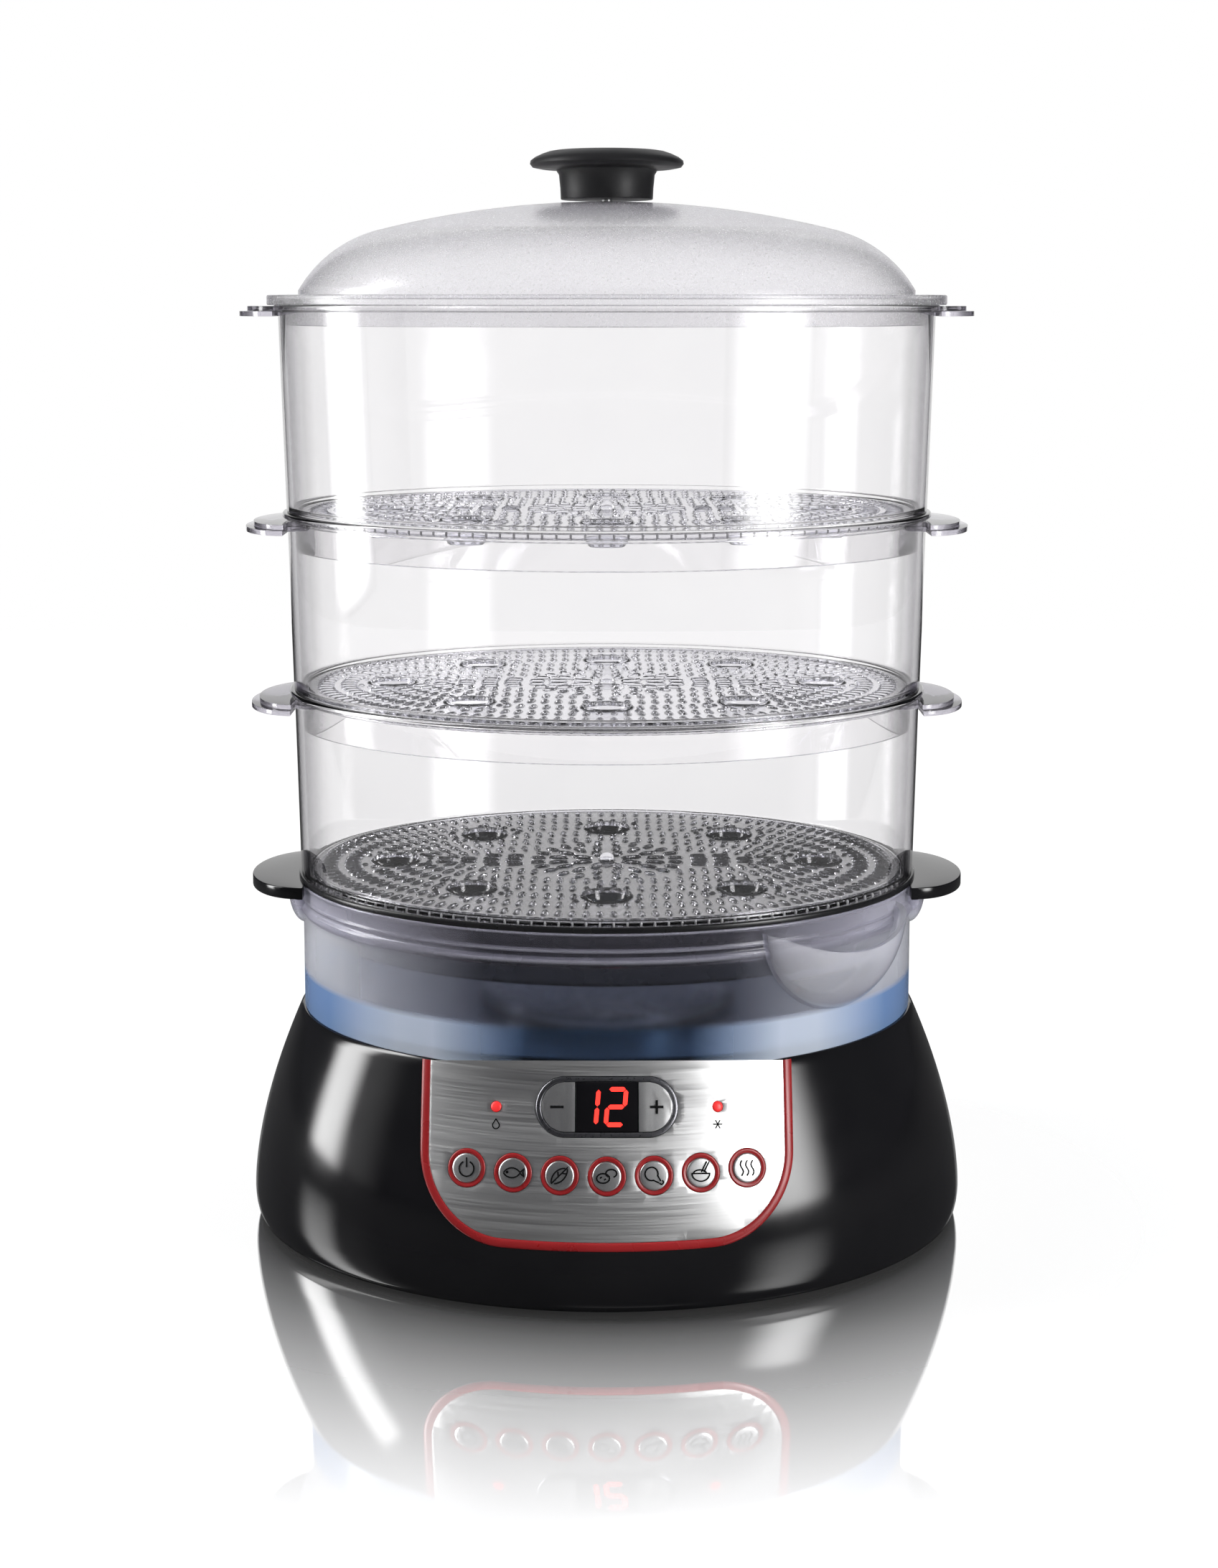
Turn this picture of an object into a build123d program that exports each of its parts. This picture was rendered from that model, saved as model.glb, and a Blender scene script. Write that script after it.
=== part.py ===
"""Electric food steamer: a base with a water tank, a drip tray, three stacking bowls and a lid.

Millimetres. +Z is up, the controls face -Y, and the origin is on the surface that the feet stand on,
under the middle of the base. The base is an oval that keeps one difference between its half width and
its half depth all the way up. The tank, tray, bowls, plates and lid are turned shapes that are then
drawn in along Y to one oval proportion.
"""

import os
from math import cos, radians, sin, sqrt

from build123d import *

# ---------------------------------------------------------------- base housing
FOOT_HEIGHT = 2.0
FOOT_RADIUS = 8.0
FOOT_STEM_RADIUS = 2.7
FOOT_X = 98.0
FOOT_Y = 48.0
BASE_WALL = 3.0
BASE_TOP = 85.0
BELLY_HEIGHT = 12.0
BELLY_HALF_WIDTH = 141.0
TOP_HALF_WIDTH = 121.4
SILL_HALF_WIDTH = 138.4
SILL_ROUND_HEIGHT = 4.0
OVAL_STEP = 28.5  # half width less half depth, at every height of the base
FLANK_POWER = 1.66  # how fast the flank falls away above the belly
FLANK_SECTIONS = 6
DECK_THICKNESS = 3.0
DECK_HOLE_RADIUS = 56.0
BOSS_RADIUS = 4.5
COVER_BOSS_X = 80.0
COVER_BOSS_Y = 56.0
COVER_THICKNESS = 2.5
COVER_GAP = 0.3
SCREW_RADIUS = 1.75
SCREW_HEAD_RADIUS = 3.5
SCREW_HEAD_HEIGHT = 1.6
SCREW_GRIP = 10.0
SCREW_CLEARANCE = 0.05
VENT_LENGTH = 26.0
VENT_WIDTH = 2.4
VENT_PITCH = 7.0
VENT_COUNT = 4
VENT_X = 72.0

# ---------------------------------------------------------------- control panel
PANEL_HALF_WIDTH = 67.8
PANEL_BOTTOM = 25.1
PANEL_CORNER = 30.0
TRIM_WIDTH = 3.2
RECESS_DEPTH = 1.5
TRIM_PROUD = 0.6
PANEL_PROUD = 0.2
SEAT_GAP = 0.1
FACIA_TILT = 18.0
FACIA_HEIGHT = 56.0
BOARD_DEPTH = 21.0  # from the skin to the face of the control board
BOARD_WIDTH = 118.0
BOARD_HEIGHT = 44.0
BOARD_RISE = 3.0  # of its middle over FACIA_HEIGHT's foot
BOARD_THICKNESS = 1.6
STANDOFF_RADIUS = 3.5
STANDOFF_X = 54.0
STANDOFF_V = 17.5
BOARD_SCREW_RADIUS = 1.45
BOARD_SCREW_HEAD_RADIUS = 2.8
BOARD_SCREW_HEAD_HEIGHT = 1.8
BOARD_SCREW_GRIP = 5.0
KEY_COUNT = 7
KEY_PITCH = 16.85
KEY_ROW_V = -5.4
KEY_ROW_BOW = 2.6  # how far the row rises at its ends
KEY_RADIUS = 5.6
KEY_PROUD = 0.9
KEY_CLEARANCE = 0.2
KEY_TRAVEL = 0.7
KEY_FLANGE_RADIUS = 6.5
KEY_FLANGE_THICKNESS = 1.2
KEY_STEM_RADIUS = 2.0
RING_WIDTH = 1.05
RING_PROUD = 0.5
SWITCH_SIZE = 6.0
SWITCH_HEIGHT = 3.5
PLUNGER_RADIUS = 1.7
PLUNGER_HEIGHT = 1.1
PILL_V = 18.8
PILL_WIDTH = 51.2
PILL_HEIGHT = 21.4
PILL_RIM = 1.9
PILL_PROUD = 0.8
WINDOW_WIDTH = 22.6
WINDOW_PROUD = 0.4
WINDOW_THICKNESS = 2.0
LAMP_X = 40.0
LAMP_V = 18.8
LAMP_RADIUS = 1.9
LAMP_PROUD = 0.4
LED_RADIUS = 1.5
LED_HEIGHT = 2.0

# ---------------------------------------------------------------- inside the base
HEATER_HOLE_RADIUS = 42.0
HEATER_PLATE_RADIUS = 50.0
HEATER_PLATE_THICKNESS = 1.5
SEAL_INNER_RADIUS = 43.0
SEAL_THICKNESS = 2.0
CLAMP_RADIUS = 53.0
CLAMP_THICKNESS = 2.5
STUD_CIRCLE_RADIUS = 46.5
STUD_COUNT = 4
STUD_RADIUS = 1.5
STUD_CLEARANCE = 0.15
STUD_END = 1.0  # past its nut
NUT_HEIGHT = 2.6
NUT_RADIUS = 3.2
ELEMENT_RADIUS = 31.0
ELEMENT_WIDTH = 9.0
ELEMENT_HEIGHT = 8.0
ELEMENT_SWEEP = 310.0
TERMINAL_RADIUS = 1.6
TERMINAL_LENGTH = 14.0
TERMINAL_ANGLE = 8.0  # between an end of the element and the pin under it
THERMOSTAT_RADIUS = 8.5
THERMOSTAT_HEIGHT = 9.0
BLADE_THICKNESS = 0.8
BLADE_WIDTH = 6.0
BLADE_LENGTH = 9.0
POWER_BOARD_LENGTH = 74.0
POWER_BOARD_DEPTH = 50.0
POWER_BOARD_X = -38.0
POWER_BOARD_Y = 34.0
POST_HEIGHT = 4.0
POST_INSET = 4.0
TRANSFORMER_SIZE = (30.0, 24.0, 22.0)
TRANSFORMER_SHIFT = -16.0  # along X from the middle of the power board
RELAY_SIZE = (19.0, 15.0, 16.0)
RELAY_SHIFT = 18.0
BLOCK_ROUND = 1.5
GLAND_HEIGHT = 20.0
GLAND_RADIUS = 6.0
GLAND_BORE_RADIUS = 3.8
GLAND_FLANGE_RADIUS = 8.5
GLAND_FLANGE_THICKNESS = 2.0
GLAND_RECESS = 1.5

# ---------------------------------------------------------------- tank and tray
OVAL = 0.77  # depth over width of the tank, tray, bowls and lid
TANK_HALF_WIDTH = 120.3
TANK_WALL = 2.6
TANK_FLOOR = 3.0
TANK_HEIGHT = 49.5
COLLAR_HEIGHT = 10.0
COLLAR_STEP = 1.2
SPOUT_ANGLE = 46.5  # round from the front towards +X, as the oval's own parameter
SPOUT_SPAN = 18.0  # half of the angle that it takes up
SPOUT_REACH = 15.0
SPOUT_DEPTH = 36.0
SPOUT_WALL = 2.0
LIP_DIP = 11.0
LIP_REST = 1.0
EAR_REACH = 7.2
EAR_HALF_SPAN = 20.0
EAR_DEPTH = 15.0
EAR_BELOW_RIM = 3.5
EAR_WALL = 1.8
TRAY_RIM_THICKNESS = 4.0
TRAY_RIM_HALF_WIDTH = 121.8
TRAY_WALL = 2.2
TRAY_DEPTH = 20.0
TRAY_GAP = 3.2  # between the tray's basin and the tank's wall
TRAY_REBATE = 1.6
CHIMNEY_RADIUS = 30.0
CHIMNEY_HEIGHT = 15.0
TRAY_HANDLE_SPAN = 31.0
TRAY_HANDLE_THICKNESS = 4.6
TRAY_HANDLE_ROUND = 1.6

# ---------------------------------------------------------------- bowls and plates
BOWL_WALL = 2.2
BOWL_FOOT_HALF_WIDTHS = (120.9, 122.6, 124.4)
BOWL_RIM_HALF_WIDTHS = (122.4, 124.2, 126.5)
BOWL_HEIGHTS = (73.0, 69.0, 79.0)
RIM_FLANGE = 1.8
RIM_THICKNESS = 2.2
SKIRT_DEPTH = 14.0
SKIRT_WALL = 1.6
NEST_CLEARANCE = 0.5
SHELF_DROPS = (0.6, 2.0, 2.4)  # top of each bowl's shelf under its foot
SHELF_THICKNESS = 1.5
SHELF_REACH = 5.0
SHOULDER = 2.0
HANDLE_REACH = 141.5
HANDLE_STEP = 1.0  # each lower bowl's handles reach this much less
HANDLE_SPAN = 31.0
HANDLE_THICKNESS = 2.4
HANDLE_DROP = 3.6
HANDLE_LIP = 2.6
HANDLE_LIP_WALL = 2.2
PLATE_GAP = 0.8
PLATE_THICKNESS = 2.0
PLATE_BEAD = 3.0
PLATE_BEAD_WIDTH = 2.4
CUP_ORBIT_X = 84.0
CUP_ORBIT_Y = 55.5
CUP_PAIR_X = 51.0
CUP_RADIUS = 9.3
CUP_FLOOR_RADIUS = 6.4
CUP_WALL = 1.3
CUP_DEPTH = 6.6
SLOT_LENGTH = 7.0
SLOT_WIDTH = 2.6
SLOT_ROWS = ((24.0, 8), (38.0, 12), (52.0, 18), (101.0, 30))
PLATE_BOSS_RADIUS = 3.0
PLATE_BOSS_HEIGHT = 2.5

# ---------------------------------------------------------------- lid and knob
LID_WALL = 2.0
LID_HALF_WIDTH = 130.7
LID_BEAD_HEIGHT = 3.8
LID_BEAD_WIDTH = 2.0
LID_FLANGE = 2.2
LID_SKIRT = 7.5
LID_SKIRT_WALL = 1.6
DOME_HALF_WIDTH = 118.6
DOME_FOOT = 5.5
DOME_HEIGHT = 39.3
SHOULDER_HALF_WIDTH = 88.0
SHOULDER_DROP = 10.9
KNOB_PAD_RADIUS = 19.5
KNOB_PAD_HEIGHT = 0.8
KNOB_STEM_FOOT_RADIUS = 17.7
KNOB_STEM_NECK_RADIUS = 18.5
KNOB_STEM_HEIGHT = 9.6
KNOB_DISC_RADIUS = 29.6
KNOB_DISC_RISE = 4.2
KNOB_HEIGHT = 18.4
KNOB_TOP_RADIUS = 20.6
KNOB_THROAT = 3.0  # how far the hollow under the disc turns out, and how deep it is
KNOB_THROAT_RISE = 1.6
KNOB_EDGE = 2.0
KNOB_SCREW_RADIUS = 2.0
KNOB_SCREW_GRIP = 10.0
KNOB_SCREW_HEAD_RADIUS = 4.0
KNOB_SCREW_HEAD_HEIGHT = 2.4
SCREW_PAD_HEIGHT = 0.8

# ---------------------------------------------------------------- heights that follow
TANK_RIM = BASE_TOP + TANK_HEIGHT
TRAY_RIM = TANK_RIM + TRAY_RIM_THICKNESS
BOWL_FEET = [TRAY_RIM + sum(BOWL_HEIGHTS[:tier]) for tier in range(len(BOWL_HEIGHTS))]
LID_SEAT = TRAY_RIM + sum(BOWL_HEIGHTS)
KNOB_SEAT = LID_SEAT + DOME_HEIGHT + KNOB_PAD_HEIGHT
COVER_TOP = FOOT_HEIGHT + COVER_THICKNESS
TRAY_HANDLE_REACH = HANDLE_REACH - HANDLE_STEP
FAR = 400.0  # beyond the object in any direction


def base_half_width(height):
    """Half width of the base's skin at a height between its sill and its top."""
    if height <= BELLY_HEIGHT:
        rise = (height - FOOT_HEIGHT) / (BELLY_HEIGHT - FOOT_HEIGHT)
        return SILL_HALF_WIDTH + (BELLY_HALF_WIDTH - SILL_HALF_WIDTH) * sqrt(1 - (1 - rise) ** 2)
    share = (height - BELLY_HEIGHT) / (BASE_TOP - BELLY_HEIGHT)
    return BELLY_HALF_WIDTH - (BELLY_HALF_WIDTH - TOP_HALF_WIDTH) * share**FLANK_POWER


def base_sections(low, high):
    """Heights at which the base's skin is drawn, from low to high."""
    flank = [
        BELLY_HEIGHT + (BASE_TOP - BELLY_HEIGHT) * step / (FLANK_SECTIONS - 1)
        for step in range(FLANK_SECTIONS)
    ]
    inner = [h for h in [FOOT_HEIGHT + SILL_ROUND_HEIGHT, *flank] if low + 1.0 < h < high - 1.0]
    return [low, *inner, high]


def base_solid(inset, low=FOOT_HEIGHT, high=BASE_TOP):
    """The base's oval as one closed solid, drawn in by inset, between two heights."""
    with BuildPart() as oval:
        for height in base_sections(low, high):
            half_width = base_half_width(height) - inset
            with BuildSketch(Plane.XY.offset(height)):
                Ellipse(half_width, half_width - OVAL_STEP)
        loft()
    return oval.part


def oval_solid(half_width, low, high):
    """An upright oval cylinder in the proportion of the tank and the bowls."""
    with BuildPart() as oval:
        with BuildSketch(Plane.XY.offset(low)):
            Ellipse(half_width, half_width * OVAL)
        extrude(amount=high - low)
    return oval.part


def bulb(half_x, half_y, half_z):
    """A solid ellipsoid about the origin."""
    with BuildPart() as ball:
        Sphere(half_x)
        scale(by=(1, half_y / half_x, half_z / half_x))
    return ball.part


def facia_outline(inset):
    """The U-shaped outline of the control panel on the front plane, drawn in by inset."""
    half_width = PANEL_HALF_WIDTH - inset
    bottom = PANEL_BOTTOM + inset
    corner = PANEL_CORNER - inset
    with BuildPart() as prism:
        with BuildSketch(Plane.XZ):
            with BuildLine():
                FilletPolyline(
                    (-half_width, FAR), (-half_width, bottom), (half_width, bottom), (half_width, FAR),
                    radius=corner,
                )
                Line((half_width, FAR), (-half_width, FAR))
            make_face()
        extrude(amount=FAR)
    return prism.part


# The plane of the control board: u runs along X, v up the slope of the front, w out of the front.
FACIA_OUT = Vector(0, -cos(radians(FACIA_TILT)), sin(radians(FACIA_TILT)))
FACIA_UP = Vector(0, sin(radians(FACIA_TILT)), cos(radians(FACIA_TILT)))
FACIA_SKIN = Vector(0, OVAL_STEP - base_half_width(FACIA_HEIGHT), FACIA_HEIGHT)
FACIA = Plane(origin=FACIA_SKIN - FACIA_OUT * BOARD_DEPTH, x_dir=(1, 0, 0), z_dir=FACIA_OUT)


def skin_w(u, v, inset=0.0):
    """How far in front of the control board the base's skin lies over the point (u, v)."""
    low, high = 0.0, 2 * BOARD_DEPTH
    for _ in range(40):
        w = (low + high) / 2
        point = FACIA.origin + Vector(u, 0, 0) + FACIA_UP * v + FACIA_OUT * w
        half_width = base_half_width(min(point.Z, BASE_TOP)) - inset
        half_depth = half_width - OVAL_STEP
        inside = (point.X / half_width) ** 2 + (point.Y / half_depth) ** 2 < 1
        low, high = (w, high) if inside else (low, w)
    return low


def key_places():
    """(u, v) of the seven round keys, left to right."""
    middle = (KEY_COUNT - 1) / 2
    return [
        ((n - middle) * KEY_PITCH, KEY_ROW_V + KEY_ROW_BOW * ((n - middle) / middle) ** 2)
        for n in range(KEY_COUNT)
    ]


KEYS = key_places()
PILL_KEY_U = (WINDOW_WIDTH / 2 + PILL_WIDTH / 2 - PILL_RIM) / 2
SWITCHES = [*KEYS, (-PILL_KEY_U, PILL_V), (PILL_KEY_U, PILL_V)]
SWITCH_TOP = SWITCH_HEIGHT + PLUNGER_HEIGHT
STEM_FOOT = SWITCH_TOP + KEY_TRAVEL + SEAT_GAP
STANDOFFS = [(x, BOARD_RISE + v) for x in (-STANDOFF_X, STANDOFF_X) for v in (-STANDOFF_V, STANDOFF_V)]
RING_RADIUS = KEY_RADIUS + KEY_CLEARANCE + RING_WIDTH
BASE_BOSSES = [(x, y) for x in (-COVER_BOSS_X, COVER_BOSS_X) for y in (-COVER_BOSS_Y, COVER_BOSS_Y)]
FOOT_PLACES = [(x, y) for x in (-FOOT_X, FOOT_X) for y in (-FOOT_Y, FOOT_Y)]
POWER_POSTS = [
    (
        POWER_BOARD_X + x * (POWER_BOARD_LENGTH / 2 - POST_INSET),
        POWER_BOARD_Y + y * (POWER_BOARD_DEPTH / 2 - POST_INSET),
    )
    for x in (-1, 1)
    for y in (-1, 1)
]
REAR_SKIN = base_half_width(GLAND_HEIGHT) - OVAL_STEP
GLAND_SEAT = Plane.XZ.offset(GLAND_RECESS - REAR_SKIN)

SKIN = base_solid(0)
INSIDE = base_solid(BASE_WALL, FOOT_HEIGHT, BASE_TOP - DECK_THICKNESS)
RECESS_FLOOR = base_solid(RECESS_DEPTH)
TRIM_SKIN = base_solid(-TRIM_PROUD)
PANEL_SKIN = base_solid(-PANEL_PROUD)
KEY_SKIN = base_solid(-KEY_PROUD)
RING_SKIN = base_solid(-RING_PROUD)
PILL_SKIN = base_solid(-PILL_PROUD)
WINDOW_SKIN = base_solid(-WINDOW_PROUD)
LAMP_SKIN = base_solid(-LAMP_PROUD)
FACIA_OUTER = facia_outline(0)
FACIA_INNER = facia_outline(TRIM_WIDTH)
PANEL_OUTLINE = facia_outline(TRIM_WIDTH + SEAT_GAP)
TRIM_OUTLINE = facia_outline(SEAT_GAP)


def save(builder, name):
    """Labels a finished piece with its name and writes it."""
    builder.part.label = name
    export_step(builder.part, f"parts/{name}.step")


def facia_holes(clearance):
    """Everything that passes through the front: seven key rings, the display pill and two lamps."""
    with BuildPart() as holes:
        with BuildSketch(FACIA):
            with Locations(*KEYS):
                Circle(RING_RADIUS + clearance)
            with Locations((0, PILL_V)):
                SlotOverall(PILL_WIDTH + 2 * clearance, PILL_HEIGHT + 2 * clearance)
            with Locations((-LAMP_X, LAMP_V), (LAMP_X, LAMP_V)):
                Circle(LAMP_RADIUS + clearance)
        extrude(amount=2 * BOARD_DEPTH)
    return holes.part


FACIA_HOLES = facia_holes(SEAT_GAP)

os.makedirs("parts", exist_ok=True)

# ---------------------------------------------------------------- base housing
with BuildPart() as standoffs:
    with BuildSketch(FACIA):
        with Locations(*STANDOFFS):
            Circle(STANDOFF_RADIUS)
    extrude(amount=BOARD_DEPTH)
    add(base_solid(BASE_WALL / 2), mode=Mode.INTERSECT)

with BuildPart() as housing:
    add(SKIN)
    add(INSIDE, mode=Mode.SUBTRACT)
    with Locations(*[(x, y, COVER_TOP) for x, y in BASE_BOSSES]):
        Cylinder(
            BOSS_RADIUS, BASE_TOP - DECK_THICKNESS / 2 - COVER_TOP, align=(Align.CENTER, Align.CENTER, Align.MIN)
        )
    add(standoffs.part)
    with BuildSketch(Plane.XY.offset(BASE_TOP - DECK_THICKNESS)):
        Circle(DECK_HOLE_RADIUS)
    extrude(amount=DECK_THICKNESS, mode=Mode.SUBTRACT)
    with BuildSketch(Plane.XY.offset(COVER_TOP)):
        with Locations(*BASE_BOSSES):
            Circle(SCREW_RADIUS + SCREW_CLEARANCE)
    extrude(amount=SCREW_GRIP + SCREW_CLEARANCE, mode=Mode.SUBTRACT)
    with BuildSketch(FACIA):
        with Locations(*STANDOFFS):
            Circle(BOARD_SCREW_RADIUS + SCREW_CLEARANCE)
    extrude(amount=BOARD_SCREW_GRIP + SCREW_CLEARANCE, mode=Mode.SUBTRACT)
    add((FACIA_OUTER & SKIN) - RECESS_FLOOR, mode=Mode.SUBTRACT)
    add(FACIA_HOLES, mode=Mode.SUBTRACT)
    with BuildSketch(Plane.XZ.offset(-REAR_SKIN + 2 * BASE_WALL)):
        with Locations((0, GLAND_HEIGHT)):
            Circle(GLAND_RADIUS + SEAT_GAP)
    extrude(amount=-3 * BASE_WALL, mode=Mode.SUBTRACT)
    with BuildSketch(GLAND_SEAT):
        with Locations((0, GLAND_HEIGHT)):
            Circle(GLAND_FLANGE_RADIUS + SEAT_GAP)
    extrude(amount=-2 * BASE_WALL, mode=Mode.SUBTRACT)
save(housing, "base_housing")

# ---------------------------------------------------------------- bottom cover, feet and screws
with BuildPart() as cover:
    with BuildSketch(Plane.XY.offset(FOOT_HEIGHT)):
        cover_half_width = base_half_width(FOOT_HEIGHT) - BASE_WALL - COVER_GAP
        Ellipse(cover_half_width, cover_half_width - OVAL_STEP)
        with Locations((-VENT_X / 2, 0), (VENT_X / 2, 0)):
            with GridLocations(0, VENT_PITCH, 1, VENT_COUNT):
                SlotOverall(VENT_LENGTH, VENT_WIDTH, mode=Mode.SUBTRACT)
    extrude(amount=COVER_THICKNESS)
    with Locations(*[(x, y, COVER_TOP) for x, y in POWER_POSTS]):
        Cylinder(STANDOFF_RADIUS, POST_HEIGHT, align=(Align.CENTER, Align.CENTER, Align.MIN))
    with BuildSketch(Plane.XY.offset(COVER_TOP + POST_HEIGHT)):
        with Locations(*POWER_POSTS):
            Circle(BOARD_SCREW_RADIUS + SCREW_CLEARANCE)
    extrude(amount=-BOARD_SCREW_GRIP - SCREW_CLEARANCE, mode=Mode.SUBTRACT)
    with BuildSketch(Plane.XY.offset(FOOT_HEIGHT)):
        with Locations(*BASE_BOSSES):
            Circle(SCREW_RADIUS + SCREW_CLEARANCE)
        with Locations(*FOOT_PLACES):
            Circle(FOOT_STEM_RADIUS + SCREW_CLEARANCE)
    extrude(amount=COVER_THICKNESS, mode=Mode.SUBTRACT)
    with BuildSketch(Plane.XY.offset(FOOT_HEIGHT)):
        with Locations(*BASE_BOSSES):
            Circle(SCREW_HEAD_RADIUS + SEAT_GAP)
    extrude(amount=SCREW_HEAD_HEIGHT, mode=Mode.SUBTRACT)
save(cover, "bottom_cover")

with BuildPart() as feet:
    with BuildSketch():
        with Locations(*FOOT_PLACES):
            Circle(FOOT_RADIUS)
    extrude(amount=FOOT_HEIGHT)
    with BuildSketch(Plane.XY.offset(FOOT_HEIGHT)):
        with Locations(*FOOT_PLACES):
            Circle(FOOT_STEM_RADIUS)
    extrude(amount=COVER_THICKNESS)
save(feet, "rubber_feet")

with BuildPart() as cover_screws:
    with BuildSketch(Plane.XY.offset(FOOT_HEIGHT)):
        with Locations(*BASE_BOSSES):
            Circle(SCREW_HEAD_RADIUS)
    extrude(amount=SCREW_HEAD_HEIGHT)
    with BuildSketch(Plane.XY.offset(FOOT_HEIGHT + SCREW_HEAD_HEIGHT)):
        with Locations(*BASE_BOSSES):
            Circle(SCREW_RADIUS)
    extrude(amount=COVER_TOP + SCREW_GRIP - FOOT_HEIGHT - SCREW_HEAD_HEIGHT)
save(cover_screws, "cover_screws")

# ---------------------------------------------------------------- control panel
with BuildPart() as trim:
    add(TRIM_SKIN)
    add(base_solid(RECESS_DEPTH - SEAT_GAP), mode=Mode.SUBTRACT)
    add(TRIM_OUTLINE, mode=Mode.INTERSECT)
    add(FACIA_INNER, mode=Mode.SUBTRACT)
save(trim, "panel_trim")

with BuildPart() as panel:
    add(PANEL_SKIN)
    add(base_solid(RECESS_DEPTH - SEAT_GAP), mode=Mode.SUBTRACT)
    add(PANEL_OUTLINE, mode=Mode.INTERSECT)
    add(FACIA_HOLES, mode=Mode.SUBTRACT)
save(panel, "control_panel")

with BuildPart() as rings:
    for u, v in KEYS:
        with BuildSketch(FACIA.offset(skin_w(u, v) - BASE_WALL - RING_WIDTH)):
            with Locations((u, v)):
                Circle(RING_RADIUS)
                Circle(RING_RADIUS - RING_WIDTH, mode=Mode.SUBTRACT)
        extrude(amount=BOARD_DEPTH)
    add(RING_SKIN, mode=Mode.INTERSECT)
save(rings, "key_rings")

PILL_FLOOR = skin_w(PILL_WIDTH / 2, PILL_V, BASE_WALL)
with BuildPart() as bezel:
    with BuildSketch(FACIA.offset(PILL_FLOOR)):
        with Locations((0, PILL_V)):
            SlotOverall(PILL_WIDTH, PILL_HEIGHT)
            SlotOverall(PILL_WIDTH - 2 * PILL_RIM, PILL_HEIGHT - 2 * PILL_RIM, mode=Mode.SUBTRACT)
    extrude(amount=BOARD_DEPTH)
    add(PILL_SKIN, mode=Mode.INTERSECT)
save(bezel, "display_bezel")

WINDOW_HEIGHT = PILL_HEIGHT - 2 * PILL_RIM - 2 * SEAT_GAP
WINDOW_FLOOR = skin_w(0, PILL_V) - WINDOW_THICKNESS
with BuildPart() as window:
    with BuildSketch(FACIA.offset(WINDOW_FLOOR)):
        with Locations((0, PILL_V)):
            Rectangle(WINDOW_WIDTH, WINDOW_HEIGHT)
    extrude(amount=BOARD_DEPTH)
    add(WINDOW_SKIN, mode=Mode.INTERSECT)
save(window, "display_window")

with BuildPart() as display:
    with BuildSketch(FACIA):
        with Locations((0, PILL_V)):
            Rectangle(WINDOW_WIDTH, WINDOW_HEIGHT)
    extrude(amount=WINDOW_FLOOR - SEAT_GAP)
save(display, "display_module")

with BuildPart() as board:
    with BuildSketch(FACIA):
        with Locations((0, BOARD_RISE)):
            Rectangle(BOARD_WIDTH, BOARD_HEIGHT)
        with Locations(*STANDOFFS):
            Circle(BOARD_SCREW_RADIUS + SCREW_CLEARANCE, mode=Mode.SUBTRACT)
    extrude(amount=-BOARD_THICKNESS)
save(board, "control_board")

with BuildPart() as switches:
    with BuildSketch(FACIA):
        with Locations(*SWITCHES):
            Rectangle(SWITCH_SIZE, SWITCH_SIZE)
    extrude(amount=SWITCH_HEIGHT)
    with BuildSketch(FACIA.offset(SWITCH_HEIGHT)):
        with Locations(*SWITCHES):
            Circle(PLUNGER_RADIUS)
    extrude(amount=PLUNGER_HEIGHT)
save(switches, "tact_switches")

with BuildPart() as leds:
    with BuildSketch(FACIA):
        with Locations((-LAMP_X, LAMP_V), (LAMP_X, LAMP_V)):
            Circle(LED_RADIUS)
    extrude(amount=LED_HEIGHT)
save(leds, "lamp_leds")

for lamp_name, lamp_u in (("refill_lamp", -LAMP_X), ("descale_lamp", LAMP_X)):
    with BuildPart() as lamp:
        with BuildSketch(FACIA.offset(LED_HEIGHT)):
            with Locations((lamp_u, LAMP_V)):
                Circle(LAMP_RADIUS)
        extrude(amount=2 * BOARD_DEPTH)
        add(LAMP_SKIN, mode=Mode.INTERSECT)
    save(lamp, lamp_name)

# ---------------------------------------------------------------- keys
KEY_NAMES = ("start_stop_key", *[f"program_key_{n}" for n in range(1, KEY_COUNT - 1)], "keep_warm_key")


def flange_top(u, v, reach):
    """Where a key's flange stops behind the wall: under the lowest point of the wall over it."""
    rim = [(u + reach * sx, v + reach * sy) for sx, sy in ((1, 0), (-1, 0), (0, 1), (0, -1))]
    return min(skin_w(x, y, BASE_WALL) for x, y in rim) - RING_WIDTH - KEY_CLEARANCE


for key_name, (u, v) in zip(KEY_NAMES, KEYS):
    stop = flange_top(u, v, RING_RADIUS)
    with BuildPart() as key:
        with BuildSketch(FACIA.offset(stop - KEY_FLANGE_THICKNESS)):
            with Locations((u, v)):
                Circle(KEY_FLANGE_RADIUS)
        extrude(amount=KEY_FLANGE_THICKNESS)
        with BuildSketch(FACIA.offset(stop)):
            with Locations((u, v)):
                Circle(KEY_RADIUS)
        extrude(amount=BOARD_DEPTH)
        with BuildSketch(FACIA.offset(STEM_FOOT)):
            with Locations((u, v)):
                Circle(KEY_STEM_RADIUS)
        extrude(amount=stop - STEM_FOOT)
        add(KEY_SKIN, mode=Mode.INTERSECT)
    save(key, key_name)

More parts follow.
